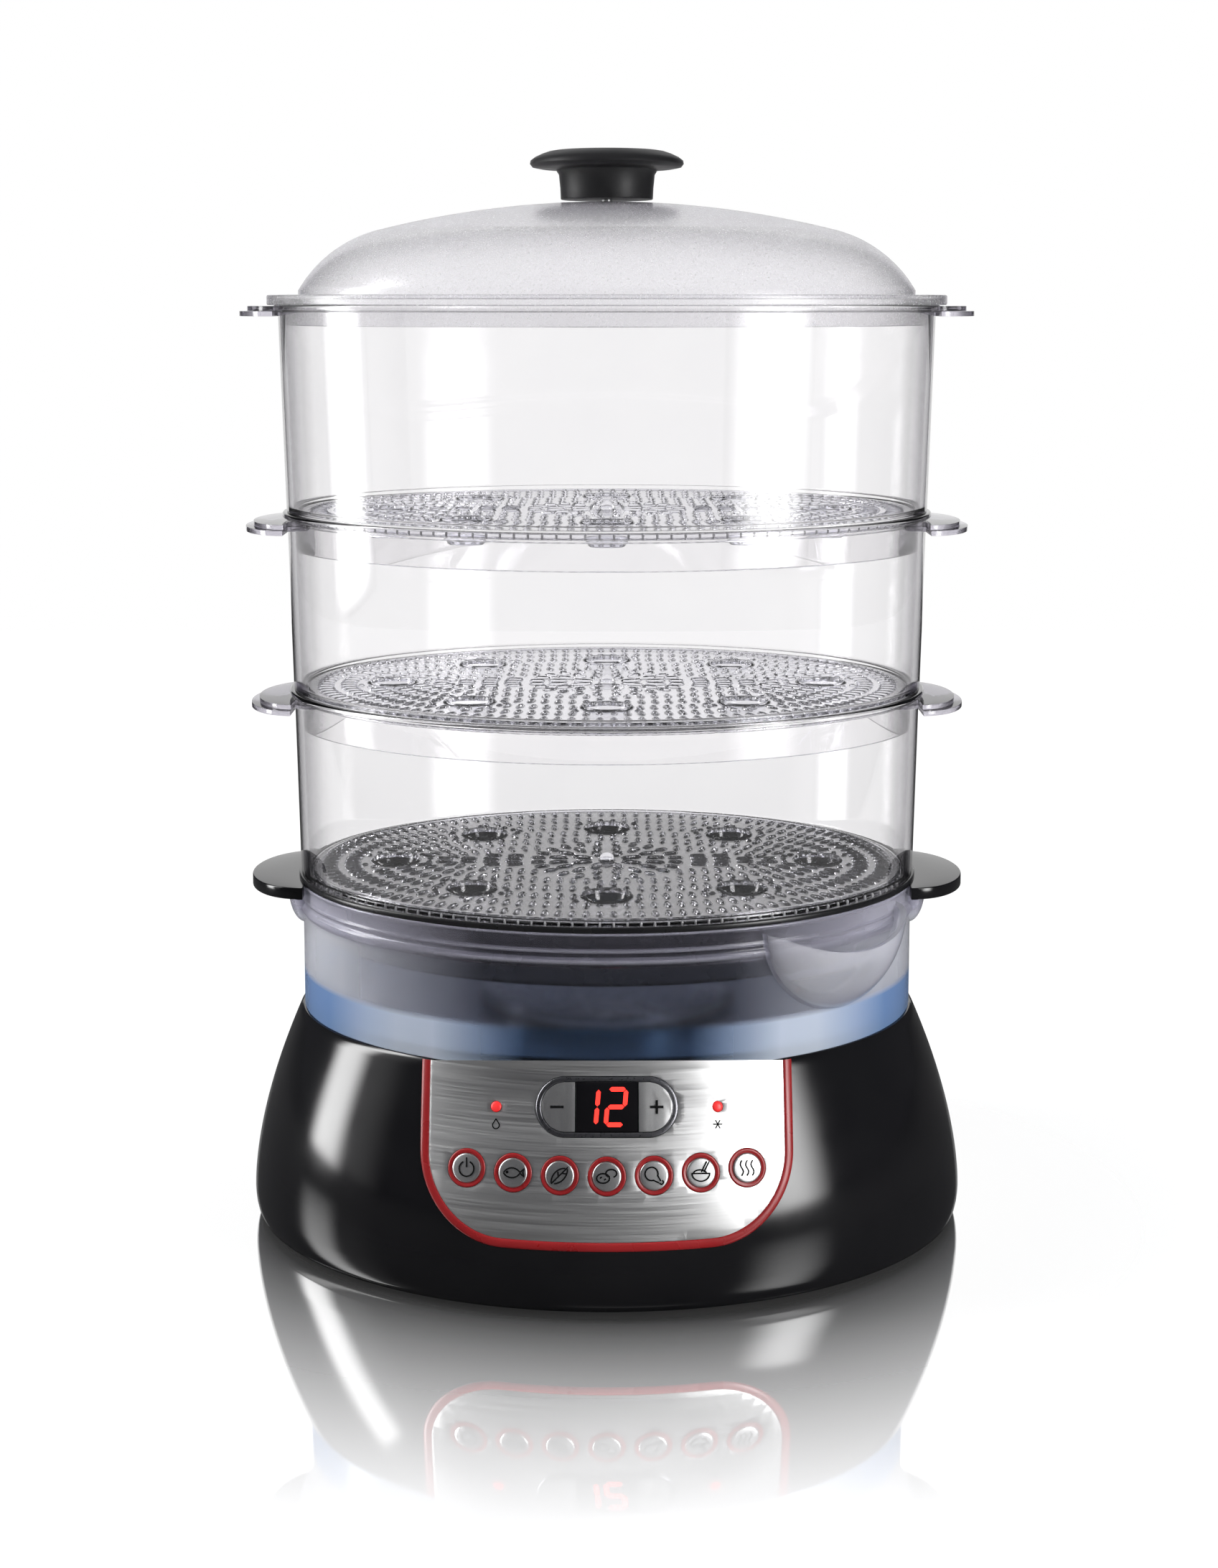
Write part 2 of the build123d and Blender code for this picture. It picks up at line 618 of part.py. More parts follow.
PILL_KEY_HEIGHT = PILL_HEIGHT - 2 * PILL_RIM - 2 * KEY_CLEARANCE
PILL_KEY_INNER = WINDOW_WIDTH / 2 + KEY_CLEARANCE
for key_name, side in (("minus_key", -1), ("plus_key", 1)):
    with BuildPart() as key:
        with BuildSketch(FACIA.offset(STEM_FOOT + KEY_FLANGE_THICKNESS)):
            with Locations((0, PILL_V)):
                SlotOverall(PILL_WIDTH - 2 * PILL_RIM - 2 * KEY_CLEARANCE, PILL_KEY_HEIGHT)
            with Locations((side * (PILL_KEY_INNER + FAR / 2), PILL_V)):
                Rectangle(FAR, FAR, mode=Mode.INTERSECT)
        extrude(amount=2 * BOARD_DEPTH)
        with BuildSketch(FACIA.offset(STEM_FOOT)):
            with Locations((side * PILL_KEY_U, PILL_V)):
                Circle(KEY_STEM_RADIUS)
        extrude(amount=KEY_FLANGE_THICKNESS)
        add(KEY_SKIN, mode=Mode.INTERSECT)
    save(key, key_name)

# ---------------------------------------------------------------- boards in the base
POWER_BOARD_FLOOR = COVER_TOP + POST_HEIGHT
with BuildPart() as power_board:
    with BuildSketch(Plane.XY.offset(POWER_BOARD_FLOOR)):
        with Locations((POWER_BOARD_X, POWER_BOARD_Y)):
            Rectangle(POWER_BOARD_LENGTH, POWER_BOARD_DEPTH)
        with Locations(*POWER_POSTS):
            Circle(BOARD_SCREW_RADIUS + SCREW_CLEARANCE, mode=Mode.SUBTRACT)
    extrude(amount=BOARD_THICKNESS)
save(power_board, "power_board")

for block_name, size, shift in (
    ("transformer", TRANSFORMER_SIZE, TRANSFORMER_SHIFT),
    ("mains_relay", RELAY_SIZE, RELAY_SHIFT),
):
    with BuildPart() as block:
        with Locations((POWER_BOARD_X + shift, POWER_BOARD_Y, POWER_BOARD_FLOOR + BOARD_THICKNESS)):
            Box(*size, align=(Align.CENTER, Align.CENTER, Align.MIN))
        fillet(block.edges().filter_by(Axis.Z), radius=BLOCK_ROUND)
    save(block, block_name)

with BuildPart() as board_screws:
    with BuildSketch(FACIA.offset(-BOARD_THICKNESS - BOARD_SCREW_HEAD_HEIGHT)):
        with Locations(*STANDOFFS):
            Circle(BOARD_SCREW_HEAD_RADIUS)
    extrude(amount=BOARD_SCREW_HEAD_HEIGHT)
    with BuildSketch(FACIA.offset(-BOARD_THICKNESS)):
        with Locations(*STANDOFFS):
            Circle(BOARD_SCREW_RADIUS)
    extrude(amount=BOARD_THICKNESS + BOARD_SCREW_GRIP)
    with BuildSketch(Plane.XY.offset(POWER_BOARD_FLOOR + BOARD_THICKNESS)):
        with Locations(*POWER_POSTS):
            Circle(BOARD_SCREW_HEAD_RADIUS)
    extrude(amount=BOARD_SCREW_HEAD_HEIGHT)
    with BuildSketch(Plane.XY.offset(POWER_BOARD_FLOOR + BOARD_THICKNESS)):
        with Locations(*POWER_POSTS):
            Circle(BOARD_SCREW_RADIUS)
    extrude(amount=-BOARD_THICKNESS - BOARD_SCREW_GRIP)
save(board_screws, "board_screws")

with BuildPart() as gland:
    with BuildSketch(GLAND_SEAT):
        with Locations((0, GLAND_HEIGHT)):
            Circle(GLAND_FLANGE_RADIUS)
            Circle(GLAND_BORE_RADIUS, mode=Mode.SUBTRACT)
    extrude(amount=-GLAND_FLANGE_THICKNESS)
    with BuildSketch(GLAND_SEAT):
        with Locations((0, GLAND_HEIGHT)):
            Circle(GLAND_RADIUS)
            Circle(GLAND_BORE_RADIUS, mode=Mode.SUBTRACT)
    extrude(amount=BASE_WALL)
save(gland, "cord_gland")

# ---------------------------------------------------------------- water tank
TANK_INNER = TANK_HALF_WIDTH - TANK_WALL
COLLAR_HALF_WIDTH = TANK_HALF_WIDTH + COLLAR_STEP
SPOUT_A = radians(SPOUT_ANGLE - SPOUT_SPAN)
SPOUT_B = radians(SPOUT_ANGLE + SPOUT_SPAN)
SPOUT_LEFT = Vector(TANK_HALF_WIDTH * sin(SPOUT_A), -TANK_HALF_WIDTH * OVAL * cos(SPOUT_A), 0)
SPOUT_RIGHT = Vector(TANK_HALF_WIDTH * sin(SPOUT_B), -TANK_HALF_WIDTH * OVAL * cos(SPOUT_B), 0)
SPOUT_ALONG = (SPOUT_RIGHT - SPOUT_LEFT).normalized()
SPOUT_OUT = SPOUT_ALONG.cross(Vector(0, 0, 1))
SPOUT_HALF = (SPOUT_RIGHT - SPOUT_LEFT).length / 2
SPOUT_MID = (SPOUT_LEFT + SPOUT_RIGHT) * 0.5 + Vector(0, 0, TANK_RIM)
SPOUT_CROWN = TANK_HALF_WIDTH * Vector(sin(radians(SPOUT_ANGLE)), -OVAL * cos(radians(SPOUT_ANGLE)), 0)
SPOUT_BULGE = (SPOUT_CROWN - SPOUT_MID).dot(SPOUT_OUT)
SPOUT_PLANE = Plane(origin=SPOUT_MID, x_dir=SPOUT_ALONG, z_dir=(0, 0, 1))
LIP_PLANE = Plane(origin=SPOUT_MID, x_dir=SPOUT_ALONG, z_dir=SPOUT_OUT)


def spout_bulb(inset):
    """The spout's half-ellipsoid form, drawn in by inset, in its place on the tank."""
    form = bulb(SPOUT_HALF - inset, SPOUT_BULGE + SPOUT_REACH - inset, SPOUT_DEPTH - inset)
    return form.moved(SPOUT_PLANE.location)


def ear_bulb(side, inset):
    """One of the tank's two side ears, drawn in by inset."""
    form = bulb(EAR_REACH - inset, EAR_HALF_SPAN - inset, EAR_DEPTH - inset)
    return form.moved(Location((side * (TANK_HALF_WIDTH - COLLAR_STEP), 0, TANK_RIM - EAR_BELOW_RIM)))


with BuildPart() as lip_cut:
    with BuildSketch(LIP_PLANE):
        with BuildLine():
            lip = ThreePointArc((-SPOUT_HALF, -LIP_REST), (0, -LIP_DIP), (SPOUT_HALF, -LIP_REST))
            Polyline(lip @ 0, (-SPOUT_HALF, SPOUT_DEPTH), (SPOUT_HALF, SPOUT_DEPTH), lip @ 1)
        make_face()
    extrude(amount=4 * SPOUT_REACH, both=True)

with BuildPart() as tank_core:
    add(oval_solid(TANK_HALF_WIDTH, BASE_TOP, TANK_RIM))

with BuildPart() as spout:
    add(spout_bulb(0))
    add(spout_bulb(SPOUT_WALL), mode=Mode.SUBTRACT)
    add(tank_core.part, mode=Mode.SUBTRACT)
    add(lip_cut.part, mode=Mode.SUBTRACT)
    split(bisect_by=Plane(origin=SPOUT_MID, z_dir=SPOUT_OUT), keep=Keep.TOP)

with BuildPart() as spout_window:
    add(spout_bulb(SPOUT_WALL))
    split(bisect_by=Plane.XY.offset(TANK_RIM - COLLAR_HEIGHT - COLLAR_STEP), keep=Keep.BOTTOM)
    split(bisect_by=Plane(origin=SPOUT_MID - SPOUT_OUT * 2 * TANK_WALL, z_dir=SPOUT_OUT), keep=Keep.TOP)

with BuildPart() as tank:
    with BuildSketch(Plane.XZ):
        with BuildLine():
            Polyline(
                (0, BASE_TOP),
                (TANK_HALF_WIDTH, BASE_TOP),
                (TANK_HALF_WIDTH, TANK_RIM - COLLAR_HEIGHT - COLLAR_STEP),
                (COLLAR_HALF_WIDTH, TANK_RIM - COLLAR_HEIGHT),
                (COLLAR_HALF_WIDTH, TANK_RIM),
                (TANK_INNER, TANK_RIM),
                (TANK_INNER, BASE_TOP + TANK_FLOOR),
                (0, BASE_TOP + TANK_FLOOR),
                close=True,
            )
        make_face()
    revolve(axis=Axis.Z)
    scale(by=(1, OVAL, 1))
    add(spout.part)
    add(spout_window.part, mode=Mode.SUBTRACT)
    for side in (-1, 1):
        with BuildPart(mode=Mode.PRIVATE) as ear:
            add(ear_bulb(side, 0))
            add(ear_bulb(side, EAR_WALL), mode=Mode.SUBTRACT)
            add(tank_core.part, mode=Mode.SUBTRACT)
            split(bisect_by=Plane.XY.offset(TANK_RIM - EAR_BELOW_RIM), keep=Keep.BOTTOM)
        add(ear.part)
    with BuildSketch(Plane.XY.offset(BASE_TOP)):
        Circle(HEATER_HOLE_RADIUS)
        with PolarLocations(STUD_CIRCLE_RADIUS, STUD_COUNT):
            Circle(STUD_RADIUS + STUD_CLEARANCE)
    extrude(amount=TANK_FLOOR, mode=Mode.SUBTRACT)
save(tank, "water_tank")

# ---------------------------------------------------------------- heater
SEAL_FLOOR = BASE_TOP + TANK_FLOOR
HEATER_FLOOR = SEAL_FLOOR + SEAL_THICKNESS
CLAMP_FLOOR = BASE_TOP - CLAMP_THICKNESS

with BuildPart() as seal:
    with BuildSketch(Plane.XY.offset(SEAL_FLOOR)):
        Circle(HEATER_PLATE_RADIUS)
        Circle(SEAL_INNER_RADIUS, mode=Mode.SUBTRACT)
        with PolarLocations(STUD_CIRCLE_RADIUS, STUD_COUNT):
            Circle(STUD_RADIUS + STUD_CLEARANCE, mode=Mode.SUBTRACT)
    extrude(amount=SEAL_THICKNESS)
save(seal, "tank_seal")

with BuildPart() as heater_plate:
    with BuildSketch(Plane.XY.offset(HEATER_FLOOR)):
        Circle(HEATER_PLATE_RADIUS)
    extrude(amount=HEATER_PLATE_THICKNESS)
    with BuildSketch(Plane.XY.offset(HEATER_FLOOR)):
        with PolarLocations(STUD_CIRCLE_RADIUS, STUD_COUNT):
            Circle(STUD_RADIUS)
    extrude(amount=CLAMP_FLOOR - NUT_HEIGHT - STUD_END - HEATER_FLOOR)
save(heater_plate, "heater_plate")

with BuildPart() as clamp:
    with BuildSketch(Plane.XY.offset(CLAMP_FLOOR)):
        Circle(CLAMP_RADIUS)
        Circle(HEATER_HOLE_RADIUS, mode=Mode.SUBTRACT)
        with PolarLocations(STUD_CIRCLE_RADIUS, STUD_COUNT):
            Circle(STUD_RADIUS + STUD_CLEARANCE, mode=Mode.SUBTRACT)
    extrude(amount=CLAMP_THICKNESS)
save(clamp, "heater_clamp")

with BuildPart() as nuts:
    with BuildSketch(Plane.XY.offset(CLAMP_FLOOR)):
        with PolarLocations(STUD_CIRCLE_RADIUS, STUD_COUNT):
            RegularPolygon(NUT_RADIUS, 6)
            Circle(STUD_RADIUS + SCREW_CLEARANCE, mode=Mode.SUBTRACT)
    extrude(amount=-NUT_HEIGHT)
save(nuts, "clamp_nuts")

with BuildPart() as element:
    with BuildSketch(Plane.XZ):
        with Locations((ELEMENT_RADIUS, HEATER_FLOOR - ELEMENT_HEIGHT / 2)):
            Rectangle(ELEMENT_WIDTH, ELEMENT_HEIGHT)
    revolve(axis=Axis.Z, revolution_arc=ELEMENT_SWEEP)
    with BuildSketch(Plane.XY.offset(HEATER_FLOOR - ELEMENT_HEIGHT)):
        with PolarLocations(
            ELEMENT_RADIUS, 2, TERMINAL_ANGLE, ELEMENT_SWEEP - 2 * TERMINAL_ANGLE, endpoint=True
        ):
            Circle(TERMINAL_RADIUS)
    extrude(amount=-TERMINAL_LENGTH)
save(element, "heating_element")

with BuildPart() as thermostat:
    with BuildSketch(Plane.XY.offset(HEATER_FLOOR)):
        Circle(THERMOSTAT_RADIUS)
    extrude(amount=-THERMOSTAT_HEIGHT)
    with BuildSketch(Plane.XY.offset(HEATER_FLOOR - THERMOSTAT_HEIGHT)):
        with Locations((-THERMOSTAT_RADIUS / 2, 0), (THERMOSTAT_RADIUS / 2, 0)):
            Rectangle(BLADE_THICKNESS, BLADE_WIDTH)
    extrude(amount=-BLADE_LENGTH)
save(thermostat, "thermostat")

# ---------------------------------------------------------------- drip tray
TRAY_SEAT_HALF_WIDTH = TRAY_RIM_HALF_WIDTH - TRAY_WALL
TRAY_BASIN = TANK_INNER - TRAY_GAP
TRAY_FLOOR = TANK_RIM - TRAY_DEPTH
TRAY_OPEN = TRAY_BASIN - TRAY_WALL


def half_oval_tab(reach, root, span, low, thickness):
    """A pair of rounded grips that stand out of a wall on both sides."""
    with BuildPart() as tabs:
        with BuildSketch(Plane.XY.offset(low)):
            with Locations((root, 0), (-root, 0)):
                Ellipse(reach - root, span)
        extrude(amount=thickness)
    return tabs.part


with BuildPart() as tray_grips:
    add(
        half_oval_tab(
            TRAY_HANDLE_REACH, TANK_HALF_WIDTH - 2, TRAY_HANDLE_SPAN,
            TANK_RIM - TRAY_HANDLE_THICKNESS / 2, TRAY_HANDLE_THICKNESS,
        )
    )
    fillet(tray_grips.edges().group_by(Axis.Z)[-1], radius=TRAY_HANDLE_ROUND)
    fillet(tray_grips.edges().group_by(Axis.Z)[0], radius=TRAY_HANDLE_ROUND)
    add(oval_solid(COLLAR_HALF_WIDTH + SEAT_GAP * 3, 0, TANK_RIM), mode=Mode.SUBTRACT)
    add(oval_solid(TANK_HALF_WIDTH, 0, FAR), mode=Mode.SUBTRACT)

with BuildPart() as tray:
    with BuildSketch(Plane.XZ):
        with BuildLine():
            Polyline(
                (0, TRAY_FLOOR),
                (TRAY_BASIN - TRAY_WALL, TRAY_FLOOR),
                (TRAY_BASIN, TRAY_FLOOR + TRAY_WALL),
                (TRAY_BASIN, TANK_RIM),
                (TRAY_RIM_HALF_WIDTH, TANK_RIM),
                (TRAY_RIM_HALF_WIDTH, TRAY_RIM),
                (TRAY_SEAT_HALF_WIDTH, TRAY_RIM),
                (TRAY_SEAT_HALF_WIDTH, TRAY_RIM - TRAY_RIM_THICKNESS + TRAY_REBATE),
                (TRAY_OPEN, TRAY_RIM - TRAY_RIM_THICKNESS + TRAY_REBATE),
                (TRAY_OPEN, TRAY_FLOOR + TRAY_WALL),
                (0, TRAY_FLOOR + TRAY_WALL),
                close=True,
            )
        make_face()
    revolve(axis=Axis.Z)
    scale(by=(1, OVAL, 1))
    add(tray_grips.part)
    with BuildSketch(Plane.XY.offset(TRAY_FLOOR)):
        Circle(CHIMNEY_RADIUS)
    extrude(amount=CHIMNEY_HEIGHT)
    with BuildSketch(Plane.XY.offset(TRAY_FLOOR)):
        Circle(CHIMNEY_RADIUS - TRAY_WALL)
    extrude(amount=CHIMNEY_HEIGHT, mode=Mode.SUBTRACT)
save(tray, "drip_tray")

# ---------------------------------------------------------------- bowls
NEST_BELOW = [TRAY_SEAT_HALF_WIDTH, *[width - BOWL_WALL for width in BOWL_RIM_HALF_WIDTHS[:-1]]]
SKIRT_DEPTHS = [SHELF_DROPS[0] + SHELF_THICKNESS, SKIRT_DEPTH, SKIRT_DEPTH]


def skirt_half_width(tier):
    """Outer half width of a bowl's skirt, which nests in the rim below."""
    return NEST_BELOW[tier] - NEST_CLEARANCE


def plate_half_width(tier):
    """Half width of a bowl's plate, which lies on the shelf inside the skirt."""
    return skirt_half_width(tier) - SKIRT_WALL - PLATE_GAP


def bowl(tier):
    """One bowl: a tapered wall, a rim, a shelf for the plate, a skirt that nests and two grips."""
    foot = BOWL_FEET[tier]
    rim = foot + BOWL_HEIGHTS[tier]
    foot_half = BOWL_FOOT_HALF_WIDTHS[tier]
    rim_half = BOWL_RIM_HALF_WIDTHS[tier]
    skirt_outer = skirt_half_width(tier)
    skirt_inner = skirt_outer - SKIRT_WALL
    shelf_half = skirt_inner - SHELF_REACH
    shelf_top = foot - SHELF_DROPS[tier]
    skirt_foot = foot - SKIRT_DEPTHS[tier]
    shelf_foot = shelf_top - SHELF_THICKNESS
    skirt_end = [(skirt_inner, shelf_foot), (skirt_inner, skirt_foot)] if skirt_foot < shelf_foot else []
    handle_reach = HANDLE_REACH - HANDLE_STEP * (len(BOWL_HEIGHTS) - 1 - tier)
    handle_low = rim - HANDLE_DROP - HANDLE_THICKNESS
    root = rim_half - BOWL_WALL
    with BuildPart() as grips:
        add(half_oval_tab(handle_reach, root, HANDLE_SPAN, handle_low - HANDLE_LIP, HANDLE_THICKNESS + HANDLE_LIP))
        add(
            half_oval_tab(
                handle_reach - HANDLE_LIP_WALL, root, HANDLE_SPAN - HANDLE_LIP_WALL,
                handle_low - HANDLE_LIP, HANDLE_LIP,
            ),
            mode=Mode.SUBTRACT,
        )
        add(oval_solid(root + BOWL_WALL / 2, foot, FAR + rim), mode=Mode.SUBTRACT)
    with BuildPart() as body:
        with BuildSketch(Plane.XZ):
            with BuildLine():
                Polyline(
                    (foot_half, foot),
                    (rim_half, rim - RIM_THICKNESS),
                    (rim_half + RIM_FLANGE, rim - RIM_THICKNESS),
                    (rim_half + RIM_FLANGE, rim),
                    (rim_half - BOWL_WALL, rim),
                    (foot_half - BOWL_WALL, foot + SHOULDER),
                    (skirt_inner, foot + SHOULDER),
                    (skirt_inner, shelf_top),
                    (shelf_half, shelf_top),
                    (shelf_half, shelf_foot),
                    *skirt_end,
                    (skirt_outer, skirt_foot),
                    (skirt_outer, foot),
                    close=True,
                )
            make_face()
        revolve(axis=Axis.Z)
        scale(by=(1, OVAL, 1))
        add(grips.part)
    return body


def cup_places():
    """The eight egg places, on an oval about the middle of a plate."""
    pair_y = CUP_ORBIT_Y * sqrt(1 - (CUP_PAIR_X / CUP_ORBIT_X) ** 2)
    corners = [(sx * CUP_PAIR_X, sy * pair_y) for sx in (-1, 1) for sy in (-1, 1)]
    return [(CUP_ORBIT_X, 0), (-CUP_ORBIT_X, 0), (0, CUP_ORBIT_Y), (0, -CUP_ORBIT_Y), *corners]


def plate(tier):
    """One perforated plate: a beaded disc with rows of radial slots and eight egg places."""
    half = plate_half_width(tier)
    bottom = BOWL_FEET[tier] - SHELF_DROPS[tier]
    top = bottom + PLATE_BEAD
    with BuildPart() as disc:
        with BuildSketch(Plane.XZ):
            with BuildLine():
                Polyline(
                    (0, top - PLATE_THICKNESS),
                    (half - PLATE_BEAD_WIDTH, top - PLATE_THICKNESS),
                    (half - PLATE_BEAD_WIDTH, bottom),
                    (half, bottom),
                    (half, top),
                    (PLATE_BOSS_RADIUS, top),
                    (0, top + PLATE_BOSS_HEIGHT),
                    close=True,
                )
            make_face()
        revolve(axis=Axis.Z)
        with BuildSketch(Plane.XY.offset(top)):
            for radius, count in SLOT_ROWS:
                with PolarLocations(radius, count):
                    Rectangle(SLOT_LENGTH, SLOT_WIDTH)
        extrude(amount=-PLATE_THICKNESS, mode=Mode.SUBTRACT)
        scale(by=(1, OVAL, 1))
        with Locations(*[(x, y, top) for x, y in cup_places()]):
            Cone(
                CUP_FLOOR_RADIUS + CUP_WALL, CUP_RADIUS + CUP_WALL, CUP_DEPTH,
                align=(Align.CENTER, Align.CENTER, Align.MAX),
            )
            Cone(
                CUP_FLOOR_RADIUS, CUP_RADIUS, CUP_DEPTH,
                align=(Align.CENTER, Align.CENTER, Align.MAX), mode=Mode.SUBTRACT,
            )
    return disc


for tier in range(len(BOWL_HEIGHTS)):
    save(bowl(tier), f"bowl_{tier + 1}")
    save(plate(tier), f"bowl_plate_{tier + 1}")

# ---------------------------------------------------------------- lid
LID_TOP = LID_SEAT + DOME_HEIGHT
LID_NEST = BOWL_RIM_HALF_WIDTHS[-1] - BOWL_WALL - NEST_CLEARANCE
DOME_BASE = LID_SEAT + DOME_FOOT
SCREW_SEAT = LID_TOP - LID_WALL - SCREW_PAD_HEIGHT
CROWN_RADIUS = (SHOULDER_HALF_WIDTH**2 + SHOULDER_DROP**2) / (2 * SHOULDER_DROP)

with BuildPart() as lid:
    with BuildSketch(Plane.XZ):
        with BuildLine():
            crown = RadiusArc((0, LID_TOP), (SHOULDER_HALF_WIDTH, LID_TOP - SHOULDER_DROP), CROWN_RADIUS)
            shoulder = TangentArc(crown @ 1, (DOME_HALF_WIDTH, DOME_BASE), tangent=crown % 1)
            Polyline(
                shoulder @ 1,
                (DOME_HALF_WIDTH, LID_SEAT + LID_FLANGE),
                (LID_HALF_WIDTH - LID_BEAD_WIDTH, LID_SEAT + LID_FLANGE),
                (LID_HALF_WIDTH - LID_BEAD_WIDTH, LID_SEAT + LID_BEAD_HEIGHT),
                (LID_HALF_WIDTH, LID_SEAT + LID_BEAD_HEIGHT),
                (LID_HALF_WIDTH, LID_SEAT),
                (LID_NEST, LID_SEAT),
                (LID_NEST, LID_SEAT - LID_SKIRT),
                (LID_NEST - LID_SKIRT_WALL, LID_SEAT - LID_SKIRT),
                (LID_NEST - LID_SKIRT_WALL, LID_SEAT),
                (DOME_HALF_WIDTH - LID_WALL, LID_SEAT),
                (DOME_HALF_WIDTH - LID_WALL, DOME_BASE),
            )
            inner_share = 1 - LID_WALL / CROWN_RADIUS
            inner_end = (
                SHOULDER_HALF_WIDTH * inner_share,
                LID_TOP - CROWN_RADIUS + (CROWN_RADIUS - SHOULDER_DROP) * inner_share,
            )
            inner_crown = RadiusArc((0, LID_TOP - LID_WALL), inner_end, CROWN_RADIUS - LID_WALL)
            TangentArc(inner_crown @ 1, (DOME_HALF_WIDTH - LID_WALL, DOME_BASE), tangent=inner_crown % 1)
            Line(inner_crown @ 0, crown @ 0)
        make_face()
    revolve(axis=Axis.Z)
    scale(by=(1, OVAL, 1))
    with BuildSketch(Plane.XY.offset(LID_TOP - LID_WALL / 2)):
        Circle(KNOB_PAD_RADIUS)
    extrude(amount=LID_WALL / 2 + KNOB_PAD_HEIGHT)
    with BuildSketch(Plane.XY.offset(SCREW_SEAT)):
        Circle(KNOB_SCREW_HEAD_RADIUS + LID_WALL)
    extrude(amount=LID_WALL)
    with BuildSketch(Plane.XY.offset(SCREW_SEAT)):
        Circle(KNOB_SCREW_RADIUS + SEAT_GAP)
    extrude(amount=3 * LID_WALL, mode=Mode.SUBTRACT)
save(lid, "lid")

with BuildPart() as knob:
    with BuildSketch(Plane.XZ):
        with BuildLine():
            neck = KNOB_SEAT + KNOB_STEM_HEIGHT
            crown_low = KNOB_SEAT + KNOB_HEIGHT - KNOB_DISC_RISE
            Polyline((0, KNOB_SEAT), (KNOB_STEM_FOOT_RADIUS, KNOB_SEAT), (KNOB_STEM_NECK_RADIUS, neck))
            underside = ThreePointArc(
                (KNOB_STEM_NECK_RADIUS, neck),
                (KNOB_STEM_NECK_RADIUS + KNOB_THROAT, neck + KNOB_THROAT_RISE),
                (KNOB_DISC_RADIUS - KNOB_EDGE, crown_low - KNOB_EDGE),
            )
            edge = ThreePointArc(
                underside @ 1,
                (KNOB_DISC_RADIUS, crown_low),
                (KNOB_DISC_RADIUS - KNOB_EDGE, crown_low + KNOB_EDGE),
            )
            Spline(edge @ 1, (KNOB_TOP_RADIUS, KNOB_SEAT + KNOB_HEIGHT), tangents=[(-1, 0.45), (-1, 0)])
            Polyline((KNOB_TOP_RADIUS, KNOB_SEAT + KNOB_HEIGHT), (0, KNOB_SEAT + KNOB_HEIGHT), (0, KNOB_SEAT))
        make_face()
    revolve(axis=Axis.Z)
    with BuildSketch(Plane.XY.offset(KNOB_SEAT)):
        Circle(KNOB_SCREW_RADIUS + SCREW_CLEARANCE)
    extrude(amount=KNOB_SCREW_GRIP + SCREW_CLEARANCE, mode=Mode.SUBTRACT)
save(knob, "lid_knob")

with BuildPart() as knob_screw:
    with BuildSketch(Plane.XY.offset(SCREW_SEAT - KNOB_SCREW_HEAD_HEIGHT)):
        Circle(KNOB_SCREW_HEAD_RADIUS)
    extrude(amount=KNOB_SCREW_HEAD_HEIGHT)
    with BuildSketch(Plane.XY.offset(SCREW_SEAT)):
        Circle(KNOB_SCREW_RADIUS)
    extrude(amount=KNOB_SEAT - SCREW_SEAT + KNOB_SCREW_GRIP)
save(knob_screw, "knob_screw")
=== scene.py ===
"""Electric food steamer: the dressed model, its studio and its camera.

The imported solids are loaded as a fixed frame. Each sub-assembly below builds the smooth pieces that
stand for the solids that show, in the same frame: metres, +Z up, controls towards -Y.
Sizes are written in millimetres and brought to metres when a piece is finished.
"""

from __future__ import annotations

import logging
import math
from dataclasses import dataclass, field
from enum import Enum
from typing import Callable, Iterable, Sequence

import bmesh
import bpy
from mathutils import Matrix, Vector

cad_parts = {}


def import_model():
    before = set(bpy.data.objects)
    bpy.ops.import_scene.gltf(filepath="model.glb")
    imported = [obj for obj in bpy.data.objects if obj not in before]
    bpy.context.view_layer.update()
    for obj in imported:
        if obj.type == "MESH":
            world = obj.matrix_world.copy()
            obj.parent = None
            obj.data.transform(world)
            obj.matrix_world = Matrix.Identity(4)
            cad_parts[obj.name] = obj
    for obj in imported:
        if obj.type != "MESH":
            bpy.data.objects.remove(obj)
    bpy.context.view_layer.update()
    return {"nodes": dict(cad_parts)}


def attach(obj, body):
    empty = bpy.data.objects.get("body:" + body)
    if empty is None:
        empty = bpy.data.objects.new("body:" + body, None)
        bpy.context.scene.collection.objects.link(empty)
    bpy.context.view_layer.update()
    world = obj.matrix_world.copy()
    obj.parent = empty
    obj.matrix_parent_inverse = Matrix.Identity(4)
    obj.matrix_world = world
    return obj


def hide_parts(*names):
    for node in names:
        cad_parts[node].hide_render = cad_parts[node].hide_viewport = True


LOG = logging.getLogger("steamer")
MM = 0.001
OVAL = 0.77
TURN_STEPS = 192
Point = tuple[float, float]
Triple = tuple[float, float, float]
Colour = Triple
Slot = tuple[float, float, float, float, float]
Shape = bmesh.types.BMesh
Corners = list[bmesh.types.BMVert]
Socket = bpy.types.NodeSocket
Material = bpy.types.Material


# ---------------------------------------------------------------- outlines and shells
@dataclass(frozen=True)
class Corner:
    """A corner of a turned outline, in millimetres: how far out, how high and how round."""

    out: float
    up: float
    round: float = 0.0
    steps: int = 3


